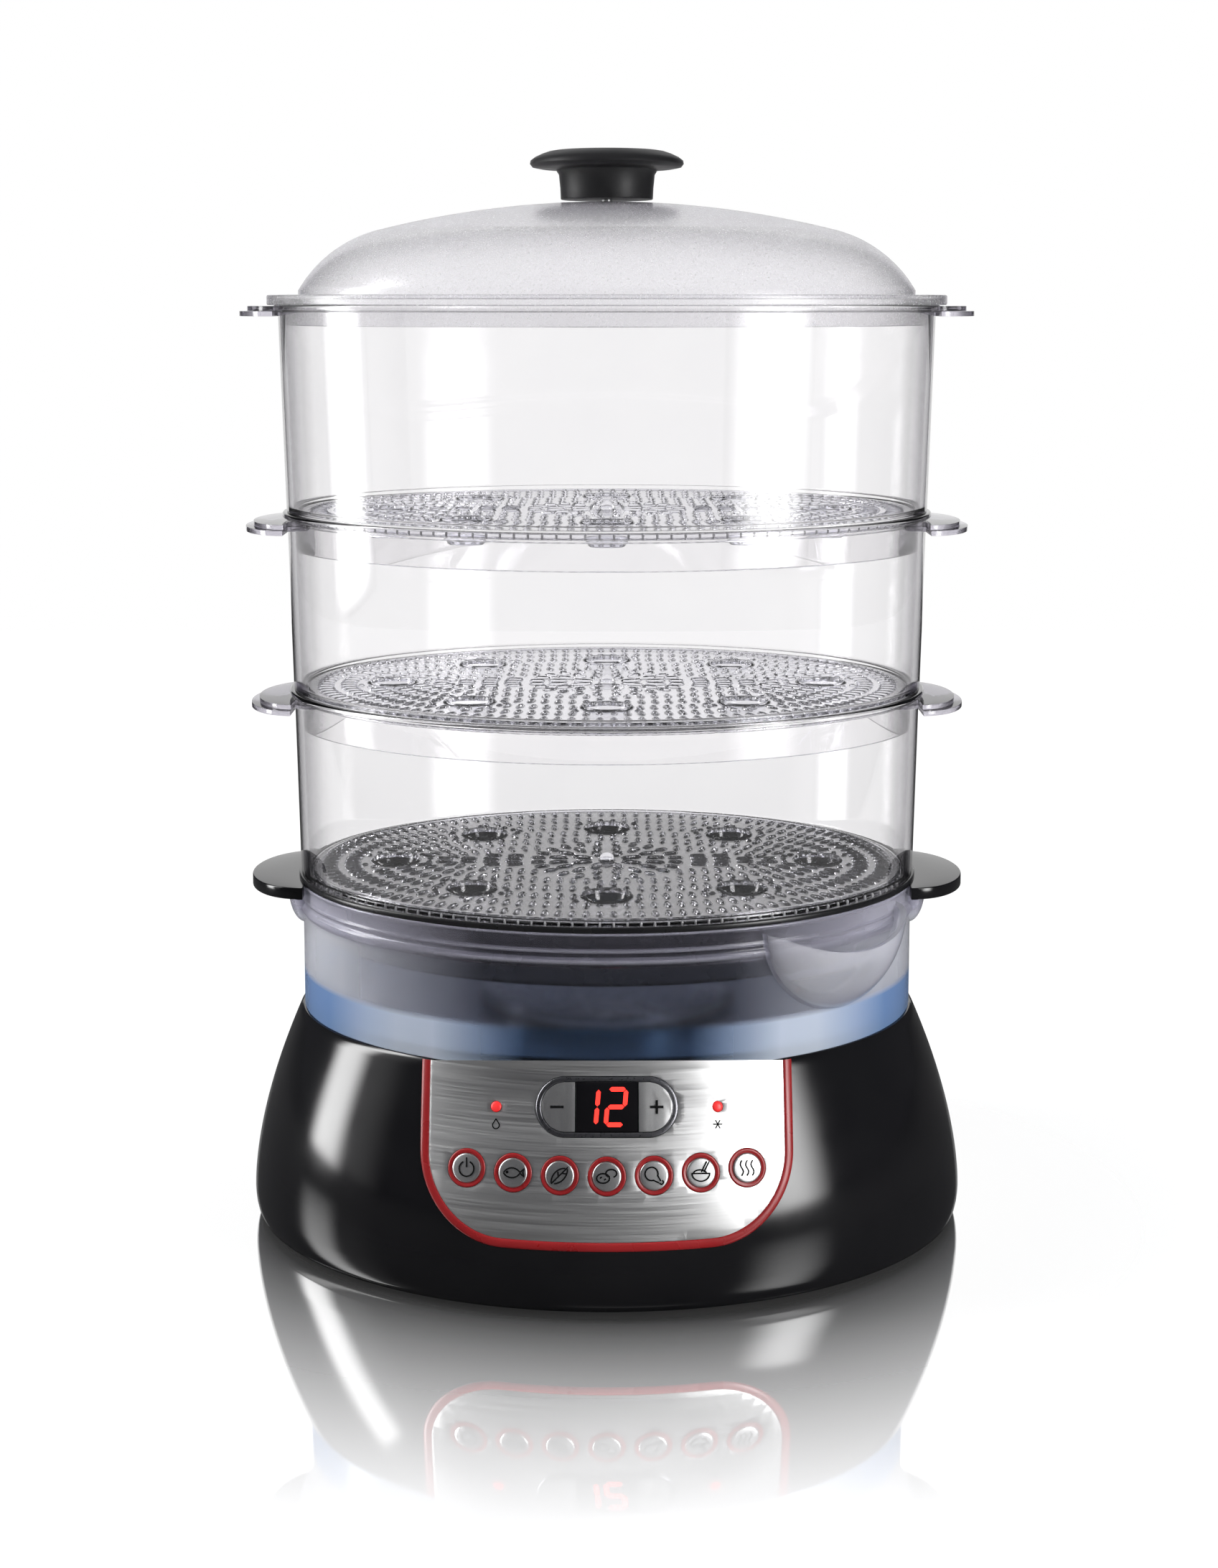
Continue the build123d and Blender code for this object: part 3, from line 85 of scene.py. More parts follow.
def turned(
    corners: Sequence[Corner], closed: bool = True, steps: int = TURN_STEPS, oval: float = OVAL
) -> Shape:
    """Spins an outline about the upright axis and draws it in along Y.

    Args:
        corners: The outline, in order.
        closed: Whether the last corner joins the first.
        steps: How many segments the turn has.
        oval: Depth over width of the finished shape.

    Returns:
        The turned shape, in millimetres.
    """
    shape = bmesh.new()
    line = [shape.verts.new((c.out, 0.0, c.up)) for c in corners]
    joined(shape, line, closed)
    for corner, vert in zip(corners, line):
        if corner.round > 0:
            round_off(shape, [vert], corner.round, corner.steps)
    bmesh.ops.spin(
        shape, geom=shape.verts[:] + shape.edges[:], cent=(0, 0, 0), axis=(0, 0, 1), dvec=(0, 0, 0),
        angle=math.tau, steps=steps, use_merge=True, use_normal_flip=False, use_duplicate=False,
    )
    bmesh.ops.remove_doubles(shape, verts=shape.verts, dist=1e-4)
    bmesh.ops.scale(shape, vec=(1, oval, 1), verts=shape.verts)
    outward(shape)
    return shape


def shifted(shape: Shape, x: float = 0.0, y: float = 0.0, z: float = 0.0) -> None:
    """Moves a whole shape."""
    bmesh.ops.translate(shape, vec=(x, y, z), verts=shape.verts)


def outward(shape: Shape) -> None:
    """Turns every face of a closed shape outwards."""
    bmesh.ops.recalc_face_normals(shape, faces=shape.faces)


def joined(shape: Shape, line: Sequence[bmesh.types.BMVert], closed: bool = False) -> None:
    """Joins corners into a wire, in order, and back to the first one if it is closed."""
    for pair in [*zip(line, line[1:]), *([(line[-1], line[0])] if closed else [])]:
        shape.edges.new(pair)


def capped(shape: Shape) -> None:
    """Fills the open ends of a shape."""
    bmesh.ops.holes_fill(shape, edges=[e for e in shape.edges if e.is_boundary], sides=0)


def sliced(shape: Shape, at: Triple, way: Triple, drop: bool = False, near: float = 1e-4) -> None:
    """Cuts a shape's faces along a plane.

    Args:
        shape: The shape.
        at: A point of the plane.
        way: The way it faces.
        drop: Whether what lies in front of it is taken away.
        near: How close a corner counts as on the plane.
    """
    whole = shape.verts[:] + shape.edges[:] + shape.faces[:]
    bmesh.ops.bisect_plane(shape, geom=whole, plane_co=at, plane_no=way, dist=near, clear_outer=drop)


def grown(geometry: Sequence[object], kind: type) -> list:
    """Returns the parts of one kind from what an operator made."""
    return [part for part in geometry if isinstance(part, kind)]


def round_off(shape: Shape, verts: Corners, radius: float, steps: int) -> None:
    """Rounds corners of a wire outline.

    Args:
        shape: The mesh that holds the outline.
        verts: The corners to round.
        radius: How far along each side the round starts.
        steps: How many segments the round has.
    """
    bmesh.ops.bevel(
        shape, geom=verts, offset=radius, offset_type="OFFSET", segments=steps, profile=0.5,
        affect="VERTICES", clamp_overlap=True, material=-1,
    )


def soften(shape: Shape, radius: float, steps: int = 2, angle: float = 40.0,
           only: Callable[[bmesh.types.BMEdge], bool] = lambda edge: True) -> None:
    """Bevels the sharp edges of a closed shape.

    Args:
        shape: The mesh to soften.
        radius: The bevel's width.
        steps: How many segments the bevel has.
        angle: The least fold, in degrees, that counts as sharp.
        only: Which of the sharp edges are taken.
    """
    limit = math.radians(angle)
    edges = [e for e in shape.edges if len(e.link_faces) == 2 and e.calc_face_angle(0.0) > limit and only(e)]
    bmesh.ops.bevel(
        shape, geom=edges, offset=radius, offset_type="OFFSET", segments=steps, profile=0.5,
        affect="EDGES", clamp_overlap=True, material=-1,
    )


def above(height: float) -> Callable[[bmesh.types.BMEdge], bool]:
    """Returns a test for the edges that lie above a height."""
    return lambda edge: all(v.co.z > height for v in edge.verts)


def placed(at: Sequence[float], turn: float, sizes: Triple) -> Matrix:
    """Returns the matrix that sizes a shape, turns it about the upright axis and moves it to its place."""
    return Matrix.Translation(at) @ Matrix.Rotation(turn, 4, "Z") @ Matrix.Diagonal((*sizes, 1))


def ring_of(shape: Shape, radius: float, at: Point = (0.0, 0.0), segments: int = 32,
            size: Point = (1.0, 1.0), turn: float = 0.0) -> Corners:
    """Adds a closed wire ring to a flat layout.

    Args:
        shape: The layout.
        radius: The ring's radius before it is stretched.
        at: Its middle.
        segments: How many sides it has.
        size: How far it is stretched along its own two axes.
        turn: The angle it is then turned by, in radians.

    Returns:
        The ring's corners.
    """
    place = placed((*at, 0), turn, (*size, 1))
    made = bmesh.ops.create_circle(shape, cap_ends=False, segments=segments, radius=radius, matrix=place)
    return made["verts"]


def stadium(shape: Shape, width: float, height: float, at: Point = (0.0, 0.0), segments: int = 40) -> Corners:
    """Adds a closed wire outline with two straight sides and two round ends.

    Args:
        shape: The layout.
        width: Overall width.
        height: Overall height.
        at: Its middle.
        segments: How many sides the round ends have together.

    Returns:
        The outline's corners.
    """
    verts = ring_of(shape, height / 2, at, segments, turn=math.pi / segments)
    shift = (width - height) / 2
    for vert in verts:
        vert.co.x += shift if vert.co.x > at[0] else -shift
    return verts


def under(shape: Shape, thickness: float) -> None:
    """Closes a sheet of faces with a copy of itself below it."""
    low = bmesh.ops.extrude_face_region(shape, geom=shape.faces[:], use_keep_orig=True)
    bmesh.ops.translate(shape, vec=(0, 0, -thickness), verts=grown(low["geom"], bmesh.types.BMVert))
    outward(shape)
    if shape.calc_volume(signed=True) < 0:
        bmesh.ops.reverse_faces(shape, faces=shape.faces)


def slab(shape: Shape, thickness: float) -> None:
    """Turns a flat sheet of faces into a closed slab of that thickness, downwards."""
    for face in shape.faces:
        if face.normal.z < 0:
            face.normal_flip()
    under(shape, thickness)


def filled(shape: Shape) -> None:
    """Fills the flat region between the wire loops of a layout."""
    shape.edges.ensure_lookup_table()
    bmesh.ops.triangle_fill(
        shape, use_beauty=True, use_dissolve=False, edges=shape.edges[:], normal=(0, 0, 1)
    )
    for face in shape.faces:
        if face.normal.z < 0:
            face.normal_flip()


def gathered(shapes: Iterable[Shape]) -> Shape:
    """Puts several shapes into one mesh and frees them."""
    whole = bmesh.new()
    for shape in shapes:
        scrap = bpy.data.meshes.new("scrap")
        shape.to_mesh(scrap)
        shape.free()
        whole.from_mesh(scrap)
        bpy.data.meshes.remove(scrap)
    return whole


def carved(shape: Shape, cutter: Shape, operation: str = "DIFFERENCE") -> Shape:
    """Cuts one closed shape with another.

    Args:
        shape: The shape to cut. It is freed.
        cutter: The shape that cuts. It is freed.
        operation: DIFFERENCE, INTERSECT or UNION.

    Returns:
        The cut shape.
    """
    blanks = []
    for part in (shape, cutter):
        mesh = bpy.data.meshes.new("blank")
        part.to_mesh(mesh)
        part.free()
        blank = bpy.data.objects.new("blank", mesh)
        bpy.context.scene.collection.objects.link(blank)
        blanks.append(blank)
    cut = blanks[0].modifiers.new("cut", "BOOLEAN")
    cut.object, cut.operation, cut.solver = blanks[1], operation, "EXACT"
    made = bpy.data.meshes.new_from_object(blanks[0].evaluated_get(bpy.context.evaluated_depsgraph_get()))
    result = bmesh.new()
    result.from_mesh(made)
    bpy.data.meshes.remove(made)
    for blank in blanks:
        mesh = blank.data
        bpy.data.objects.remove(blank)
        bpy.data.meshes.remove(mesh)
    return result


# ---------------------------------------------------------------- finishes
class Coat(Enum):
    """Named finishes of the steamer."""

    GLOSS_BLACK = "gloss_black"
    SATIN_BLACK = "satin_black"
    BRUSHED_STEEL = "brushed_steel"
    KEY_SILVER = "key_silver"
    RED_TRIM = "red_trim"
    RED_LENS = "red_lens"
    WINDOW_BLACK = "window_black"
    BEZEL_GREY = "bezel_grey"
    CIRCUIT_BOARD = "circuit_board"
    COMPONENT_GREY = "component_grey"
    STEEL = "steel"
    STAINLESS = "stainless"
    ALUMINIUM = "aluminium"
    FOOT_RUBBER = "foot_rubber"
    SILICONE = "silicone"
    FROSTED_TANK = "frosted_clear"
    CLEAR_BOWL = "clear_bowl"
    FROSTED_LID = "frosted_lid"
    CLEAR_PLATE = "clear_plate"


class Graph:
    """A short way to write a material's node graph."""

    def __init__(self, name: str) -> None:
        """Starts a material with a Principled shader.

        Args:
            name: The material's name.
        """
        self.material = bpy.data.materials.new(name)
        self.material.use_nodes = True
        self.tree = self.material.node_tree
        self.shader = next(n for n in self.tree.nodes if n.type == "BSDF_PRINCIPLED")
        self.output = next(n for n in self.tree.nodes if n.type == "OUTPUT_MATERIAL")

    def node(self, kind: str, **inputs: object) -> bpy.types.Node:
        """Adds a node.

        Args:
            kind: The node's type name, without the ShaderNode at its front.
            inputs: Values or output sockets by input name, with underscores for spaces, and attributes with
                an a_ at the front.

        Returns:
            The node.
        """
        made = self.tree.nodes.new("ShaderNode" + kind)
        for name, value in inputs.items():
            if name.startswith("a_"):
                setattr(made, name[2:], value)
        for name, value in inputs.items():
            if not name.startswith("a_"):
                key = int(name[1:]) if name[0] == "i" and name[1:].isdigit() else name.replace("_", " ")
                self.join(made.inputs[key], value)
        return made

    def join(self, socket: Socket, value: object) -> None:
        """Sets a socket to a value, or links it to an output socket."""
        if isinstance(value, Socket):
            self.tree.links.new(value, socket)
        else:
            socket.default_value = value

    def set(self, **inputs: object) -> None:
        """Sets or links the Principled shader's own sockets, with underscores for spaces."""
        for name, value in inputs.items():
            self.join(self.shader.inputs[name.replace("_", " ")], value)

    def place(self, scale: Triple = (1, 1, 1)) -> Socket:
        """Returns Object coordinates stretched by scale."""
        spot = self.node("TexCoord").outputs["Object"]
        return self.node("Mapping", Vector=spot, Scale=scale).outputs["Vector"]

    def noise(
        self, scale: float, detail: float = 3.0, stretch: Triple = (1, 1, 1), rough: float = 0.5
    ) -> Socket:
        """Returns a noise from 0 to 1 on Object coordinates.

        Args:
            scale: How many waves to a metre.
            detail: How many finer layers it has.
            stretch: How the coordinates are stretched first.
            rough: How strong the finer layers are.

        Returns:
            The noise value.
        """
        made = self.node("TexNoise", Vector=self.place(stretch), Scale=scale, Detail=detail, Roughness=rough)
        return made.outputs["Fac"]

    def spread(
        self, value: Socket, low: float, high: float, from_low: float = 0.3, from_high: float = 0.7
    ) -> Socket:
        """Returns value brought from one range to another."""
        made = self.node("MapRange", Value=value)
        made.inputs["From Min"].default_value, made.inputs["From Max"].default_value = from_low, from_high
        made.inputs["To Min"].default_value, made.inputs["To Max"].default_value = low, high
        return made.outputs["Result"]

    def blend(self, share: Socket, first: object, second: object) -> Socket:
        """Returns a colour between two colours, each written out or taken from a socket."""
        ends = [end if isinstance(end, Socket) else (*end, 1) for end in (first, second)]
        return self.node("Mix", a_data_type="RGBA", i0=share, i6=ends[0], i7=ends[1]).outputs[2]

    def maths(self, operation: str, first: object, second: object = 0.5) -> Socket:
        """Returns the outcome of a sum on one or two values or sockets."""
        return self.node("Math", a_operation=operation, i0=first, i1=second).outputs[0]

    def between(self, share: Socket, first: object, second: object) -> Socket:
        """Returns a value between two values or sockets."""
        return self.node("Mix", a_data_type="FLOAT", i0=share, i2=first, i3=second).outputs[0]

    def bump(self, height: Socket, strength: float, distance: float) -> None:
        """Gives the shader a bump of that strength and depth in metres."""
        made = self.node("Bump", Height=height, Strength=strength, Distance=distance)
        self.join(self.shader.inputs["Normal"], made.outputs["Normal"])


@dataclass(frozen=True)
class Plastic:
    """A moulded plastic: its colour, gloss and the grain of its mould."""

    colour: Colour
    fleck: Colour
    rough: float
    rough_swing: float = 0.05
    grain: float = 900.0
    grain_depth: float = 0.00002
    grain_strength: float = 0.2
    specular: float = 0.5

    def build(self, name: str) -> Material:
        """Returns the material."""
        graph = Graph(name)
        cloud = graph.noise(28.0, 4.0)
        grain = graph.noise(self.grain, 2.0)
        graph.set(
            Base_Color=graph.blend(graph.spread(cloud, 0, 1), self.colour, self.fleck),
            Roughness=graph.spread(
                graph.noise(60.0, 5.0), self.rough - self.rough_swing, self.rough + self.rough_swing
            ),
            Specular_IOR_Level=self.specular,
        )
        graph.bump(grain, self.grain_strength, self.grain_depth)
        return graph.material


@dataclass(frozen=True)
class Metal:
    """A bare metal: its colour and the marks of its finishing."""

    colour: Colour
    shade: Colour
    rough: float
    stretch: Triple = (1, 1, 1)
    grain: float = 900.0
    strength: float = 0.3
    anisotropic: float = 0.0

    def build(self, name: str) -> Material:
        """Returns the material."""
        graph = Graph(name)
        grain = graph.noise(self.grain, 4.0, self.stretch, 0.65)
        graph.set(
            Metallic=1.0,
            Base_Color=graph.blend(graph.spread(grain, 0, 1, 0.25, 0.75), self.colour, self.shade),
            Roughness=graph.spread(grain, self.rough - 0.08, self.rough + 0.08), Anisotropic=self.anisotropic,
        )
        graph.bump(grain, self.strength, 0.00003)
        return graph.material


@dataclass(frozen=True)
class ClearPlastic:
    """A see-through plastic: its colour, how frosted it is, the fine grain on it and its painted shade where
    it is seen aslant.
    """

    colour: Colour
    fleck: Colour
    rough: float
    through: float
    ior: float = 1.5
    grain: float = 700.0
    grain_strength: float = 0.05
    # The colour it turns to where it is seen aslant: painted shade at the silhouette, with a little of the
    # longer path through the plastic.
    edge: Colour = (0.03, 0.02, 0.05)
    painted_edge_shade_from: float = 0.50

    def build(self, name: str) -> Material:
        """Returns the material, which is darker where it is seen aslant: partly the longer path through the
        plastic, partly painted shade at the silhouette.
        """
        graph = Graph(name)
        grain = graph.noise(self.grain, 3.0)
        # Painted shade: darker towards the silhouette.
        aslant = graph.spread(
            graph.node("LayerWeight", Blend=0.5).outputs["Facing"], 0.0, 1.0, self.painted_edge_shade_from, 1.0
        )
        face = graph.blend(graph.spread(graph.noise(35.0, 4.0), 0, 1), self.colour, self.fleck)
        graph.set(
            Base_Color=graph.blend(aslant, face, self.edge),
            Roughness=graph.spread(grain, max(0.0, self.rough * 0.8), self.rough * 1.2),
            IOR=self.ior, Transmission_Weight=self.through,
        )
        graph.bump(grain, self.grain_strength, 0.00004)
        return graph.material


@dataclass(frozen=True)
class FrostedTank:
    """The tank's frosted plastic: blue up to the water line, clear in front, with painted shade in its middle
    below the collar, painted light at its sides and in patches in the water, and painted highlight lines on
    the bead rings.
    """

    collar: Colour = (0.66, 0.65, 0.75)
    # Above the water: the darker middle is painted shade and the lighter sides are painted light.
    dry_with_painted_shade: Colour = (0.46, 0.48, 0.58)
    dry_painted_side_light: Colour = (0.88, 0.89, 0.95)
    wet: Colour = (0.24, 0.38, 0.62)
    # Painted light: the colour of the lighter patches in the water at each side.
    wet_painted_light: Colour = (0.72, 0.80, 0.93)
    wet_end: Colour = (0.22, 0.36, 0.64)
    # Painted highlight: the colour of the bright lines on the bead rings, and their heights and half widths.
    bead: Colour = (0.74, 0.73, 0.84)
    painted_bead_highlights: tuple[Point, ...] = ((0.1359, 0.0007), (0.1295, 0.0007), (0.1257, 0.0010))
    line: float = 0.1005
    soft: float = 0.0012
    rough: float = 0.20

    def band(self, graph: Graph, height: Socket, middle: float, half: float) -> Socket:
        """Returns 1 at a height, fading to 0 half a band above and below it."""
        off = graph.maths("ABSOLUTE", graph.maths("SUBTRACT", height, middle))
        return graph.spread(off, 1.0, 0.0, half * 0.4, half)

    def build(self, name: str) -> Material:
        """Returns the material."""
        graph = Graph(name)
        parts = graph.node("SeparateXYZ", Vector=graph.node("TexCoord").outputs["Object"])
        height = parts.outputs["Z"]
        wet = graph.spread(height, 1.0, 0.0, self.line - self.soft, self.line + self.soft)
        high = graph.spread(height, 0.0, 1.0, 0.1215, 0.1245)
        across = graph.maths("ABSOLUTE", parts.outputs["X"])
        # Painted light in the water: lighter and less see-through from 30 mm out to each side, deep blue
        # again past about 80 mm.
        painted_light_patch = graph.spread(across, 0.0, 1.0, 0.030, 0.064)
        end = graph.spread(across, 0.0, 1.0, 0.078, 0.106)
        wet_colour = graph.blend(end, graph.blend(painted_light_patch, self.wet, self.wet_painted_light), self.wet_end)
        # Painted shade and painted light above the water: darker in the middle below the collar, lighter and
        # less see-through from 45 to 100 mm out.
        dry_painted_side_light = graph.spread(across, 0.0, 1.0, 0.045, 0.100)
        grain = graph.noise(2600.0, 1.5)
        # The plastic lets less through where light is painted: at the sides above the water and in the
        # patches in it.
        haze_and_painted_light = graph.between(
            wet, graph.spread(dry_painted_side_light, 1.0, 0.68, 0, 1), graph.spread(painted_light_patch, 0.98, 0.36, 0, 1)
        )
        # Painted highlight lines on the three bead rings of the collar, lighter and less see-through.
        bead = self.band(graph, height, *self.painted_bead_highlights[0])
        for spot in self.painted_bead_highlights[1:]:
            bead = graph.maths("MAXIMUM", bead, self.band(graph, height, *spot))
        dry_with_painted_shade = graph.blend(high, graph.blend(dry_painted_side_light, self.dry_with_painted_shade, self.dry_painted_side_light), self.collar)
        through = graph.between(bead, haze_and_painted_light, 0.80)
        graph.set(
            Base_Color=graph.blend(bead, graph.blend(wet, dry_with_painted_shade, wet_colour), self.bead),
            Roughness=graph.spread(grain, self.rough - 0.03, self.rough + 0.03), IOR=1.38,
            Transmission_Weight=through,
        )
        graph.bump(grain, 0.20, 0.00003)
        return graph.material


@dataclass(frozen=True)
class Glow:
    """A lit segment or lamp."""

    colour: Colour
    strength: float

    def build(self, name: str) -> Material:
        """Returns the material."""
        graph = Graph(name)
        haze_and_painted_light = graph.spread(graph.noise(400.0, 2.0), 0.0, 1.0)
        graph.set(
            Base_Color=graph.blend(haze_and_painted_light, self.colour, tuple(c * 0.85 for c in self.colour)),
            Roughness=0.35, Emission_Color=(*self.colour, 1), Emission_Strength=self.strength,
        )
        return graph.material


INK = Plastic((0.004, 0.004, 0.004), (0.006, 0.006, 0.006), 0.85, 0.02, 900, 0.000001, 0.02, specular=0.1)
TRAY_BLACK = Plastic((0.008, 0.008, 0.009), (0.012, 0.012, 0.013), 0.26, 0.04, 900, 0.00002, 0.10, 0.40)
FIGURE_RED = Glow((1.0, 0.03, 0.02), 1.6)
# Painted light: the tank's plastic made lighter and less see-through for the spout, with painted shade at its
# silhouette.
SPOUT_PAINTED_LIGHT = ClearPlastic(
    (0.90, 0.90, 0.96), (0.94, 0.94, 0.98), 0.16, 0.74, 1.40, 2600, 0.15, (0.34, 0.36, 0.48), 0.5
)
# Painted shade: the bowls' clear plastic made grey-violet, nearly black at the silhouette, so the thick grips
# look dark inside.
GRIP_PAINTED_SHADE = ClearPlastic(
    (0.66, 0.64, 0.70), (0.60, 0.58, 0.65), 0.05, 0.96, 1.45, 90, 0.02, (0.05, 0.04, 0.07), 0.45
)
# Painted highlight: the plate's clear ribs made light and little see-through so they show as glints round the
# edge.
PIP_PAINTED_GLINT = ClearPlastic(
    (0.95, 0.95, 0.98), (0.90, 0.90, 0.94), 0.12, 0.35, 1.5, 400, 0.05, (0.60, 0.60, 0.66), 0.5
)


class Paintbox:
    """Builds each finish once and hands it out."""

    def __init__(self) -> None:
        """Sets out the finishes."""
        self.recipes = {
            Coat.GLOSS_BLACK: Plastic(
                (0.005, 0.005, 0.006), (0.008, 0.008, 0.009), 0.13, 0.02, 500, 0.00001, 0.04
            ),
            Coat.SATIN_BLACK: Plastic(
                (0.010, 0.010, 0.011), (0.016, 0.016, 0.017), 0.48, 0.05, 1400, 0.00005, 0.4, specular=0.3
            ),
            Coat.BRUSHED_STEEL: Metal(
                (0.70, 0.70, 0.70), (0.78, 0.78, 0.78), 0.40, (8, 1, 900), 2.2, 0.20, 0.30
            ),
            Coat.KEY_SILVER: Metal((0.70, 0.70, 0.70), (0.80, 0.80, 0.80), 0.38, (1, 1, 1), 2600, 0.4),
            Coat.RED_TRIM: Plastic(
                (0.26, 0.010, 0.012), (0.34, 0.016, 0.018), 0.30, 0.05, 900, 0.00002, 0.15
            ),
            Coat.RED_LENS: Glow((0.80, 0.03, 0.03), 0.35),
            Coat.WINDOW_BLACK: Plastic(
                (0.004, 0.004, 0.005), (0.008, 0.007, 0.008), 0.10, 0.02, 300, 0.00001, 0.03
            ),
            Coat.BEZEL_GREY: Metal((0.24, 0.24, 0.26), (0.27, 0.27, 0.29), 0.32, (1, 1, 1), 1200, 0.01),
            Coat.CIRCUIT_BOARD: Plastic(
                (0.02, 0.10, 0.05), (0.04, 0.16, 0.08), 0.45, 0.08, 400, 0.00003, 0.3
            ),
            Coat.COMPONENT_GREY: Plastic(
                (0.06, 0.06, 0.065), (0.10, 0.10, 0.105), 0.5, 0.08, 500, 0.00004, 0.4
            ),
            Coat.STEEL: Metal((0.50, 0.50, 0.50), (0.66, 0.66, 0.66), 0.35, (1, 1, 1), 700, 0.3),
            Coat.STAINLESS: Metal((0.58, 0.58, 0.58), (0.70, 0.70, 0.70), 0.28, (1, 1, 40), 60, 0.2),
            Coat.ALUMINIUM: Metal((0.62, 0.62, 0.64), (0.74, 0.74, 0.75), 0.45, (1, 1, 1), 500, 0.5),
            Coat.FOOT_RUBBER: Plastic(
                (0.02, 0.02, 0.02), (0.035, 0.035, 0.035), 0.75, 0.08, 800, 0.0001, 0.6
            ),
            Coat.SILICONE: Plastic((0.62, 0.62, 0.60), (0.70, 0.70, 0.68), 0.55, 0.08, 500, 0.00003, 0.2),
            Coat.FROSTED_TANK: FrostedTank(),
            Coat.CLEAR_BOWL: ClearPlastic(
                (0.955, 0.95, 0.955), (0.942, 0.937, 0.944), 0.010, 1.0, 1.42, 90, 0.02
            ),
            Coat.FROSTED_LID: ClearPlastic(
                (0.985, 0.975, 0.995), (0.99, 0.985, 1.0), 0.24, 0.90, 1.38, 1800, 0.18, (0.66, 0.63, 0.74),
                0.7
            ),
            Coat.CLEAR_PLATE: ClearPlastic(
                (0.92, 0.92, 0.95), (0.94, 0.94, 0.97), 0.05, 1.0, 1.42, 300, 0.05, (0.70, 0.69, 0.78), 0.75
            ),
        }
        self.made: dict[str, Material] = {}

    def get(self, coat: Coat) -> Material:
        """Returns the material of a named finish."""
        return self.special(coat.value, self.recipes[coat])

    def special(self, name: str, recipe: Plastic | Metal | ClearPlastic | FrostedTank | Glow) -> Material:
        """Returns a material of that name, built once from its recipe."""
        if name not in self.made:
            self.made[name] = recipe.build(name)
        return self.made[name]


# ---------------------------------------------------------------- finishing a piece
@dataclass
class Workshop:
    """What each sub-assembly needs to finish its pieces."""

    nodes: dict[str, bpy.types.Object]
    paints: Paintbox = field(default_factory=Paintbox)

    def finish(self, shape: Shape, name: str, body: str, coat: Coat, replaces: Sequence[str] = (),
               sharp: float = 38.0, material: Material | None = None) -> bpy.types.Object:
        """Makes a shape an object of the steamer.

        Args:
            shape: The shape in millimetres. It is freed.
            name: The piece's name.
            body: The body that it rides on.
            coat: Its finish.
            replaces: The solids that it stands for.
            sharp: The fold, in degrees, past which an edge stays sharp.
            material: A material to use in place of the coat's.

        Returns:
            The finished piece.
        """
        bmesh.ops.scale(shape, vec=(MM, MM, MM), verts=shape.verts)
        mesh = bpy.data.meshes.new(name)
        shape.to_mesh(mesh)
        shape.free()
        mesh.shade_smooth()
        mesh.set_sharp_from_angle(angle=math.radians(sharp))
        piece = bpy.data.objects.new(name, mesh)
        bpy.context.scene.collection.objects.link(piece)
        mesh.materials.append(material or self.paints.get(coat))
        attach(piece, body)
        if replaces:
            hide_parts(*replaces)
        LOG.info("%s: %d faces on %s", name, len(mesh.polygons), body)
        return piece

    def dress(self, node: str, coat: Coat) -> None:
        """Gives a solid that stays its finish."""
        solid = self.nodes[node]
        if solid.material_slots:
            for slot in solid.material_slots:
                slot.material = self.paints.get(coat)
        else:
            solid.data.materials.append(self.paints.get(coat))
        LOG.info("%s: dressed as %s", node, coat.value)


# ---------------------------------------------------------------- the base's skin and front
@dataclass(frozen=True)
class BaseForm:
    """The base's oval skin and the tilted plane of its controls."""

    foot: float = 2.0
    top: float = 85.0
    belly_height: float = 12.0
    belly: float = 141.0
    sill: float = 138.4
    top_half_width: float = 121.4
    step: float = 28.5
    power: float = 1.66
    tilt: float = math.radians(18.0)
    board_height: float = 56.0
    board_depth: float = 21.0

    def half_width(self, height: float) -> float:
        """Returns the skin's half width at a height."""
        if height <= self.belly_height:
            rise = max(0.0, (height - self.foot) / (self.belly_height - self.foot))
            return self.sill + (self.belly - self.sill) * math.sqrt(max(0.0, 1 - (1 - rise) ** 2))
        share = min(1.0, (height - self.belly_height) / (self.top - self.belly_height))
        return self.belly - (self.belly - self.top_half_width) * share**self.power

    def up(self) -> Vector:
        """Returns the direction up the slope of the front."""
        return Vector((0, math.sin(self.tilt), math.cos(self.tilt)))

    def out(self) -> Vector:
        """Returns the direction out of the front."""
        return Vector((0, -math.cos(self.tilt), math.sin(self.tilt)))

    def origin(self) -> Vector:
        """Returns the middle of the control board's face."""
        face = Vector((0, self.step - self.half_width(self.board_height), self.board_height))
        return face - self.out() * self.board_depth

    def front(self, x: float, z: float) -> Point:
        """Returns where the point of the skin at x and z lies on the board's plane.

        Args:
            x: Across the front.
            z: Above the floor.

        Returns:
            Its place across and up the board's plane.
        """
        half_width = self.half_width(z)
        y = -(half_width - self.step) * math.sqrt(1 - (x / half_width) ** 2)
        return x, (Vector((x, y, z)) - self.origin()).dot(self.up())

    def skin(self, u: float, v: float) -> float:
        """Returns how far the skin lies in front of the board's plane over a point."""
        low, high = 0.0, 2 * self.board_depth
        base = self.origin() + Vector((u, 0, 0)) + self.up() * v
        for _ in range(26):
            middle = (low + high) / 2
            point = base + self.out() * middle
            half_width = self.half_width(min(point.z, self.top))
            inside = (point.x / half_width) ** 2 + (point.y / (half_width - self.step)) ** 2 < 1
            low, high = (middle, high) if inside else (low, middle)
        return low

    def wrap(self, shape: Shape) -> None:
        """Lays a flat shape, whose Z is its height over the skin, onto the base's front."""
        for vert in shape.verts:
            u, v, height = vert.co
            raised = self.out() * (self.skin(u, v) + height)
            vert.co = self.origin() + Vector((u, 0, 0)) + self.up() * v + raised
        outward(shape)


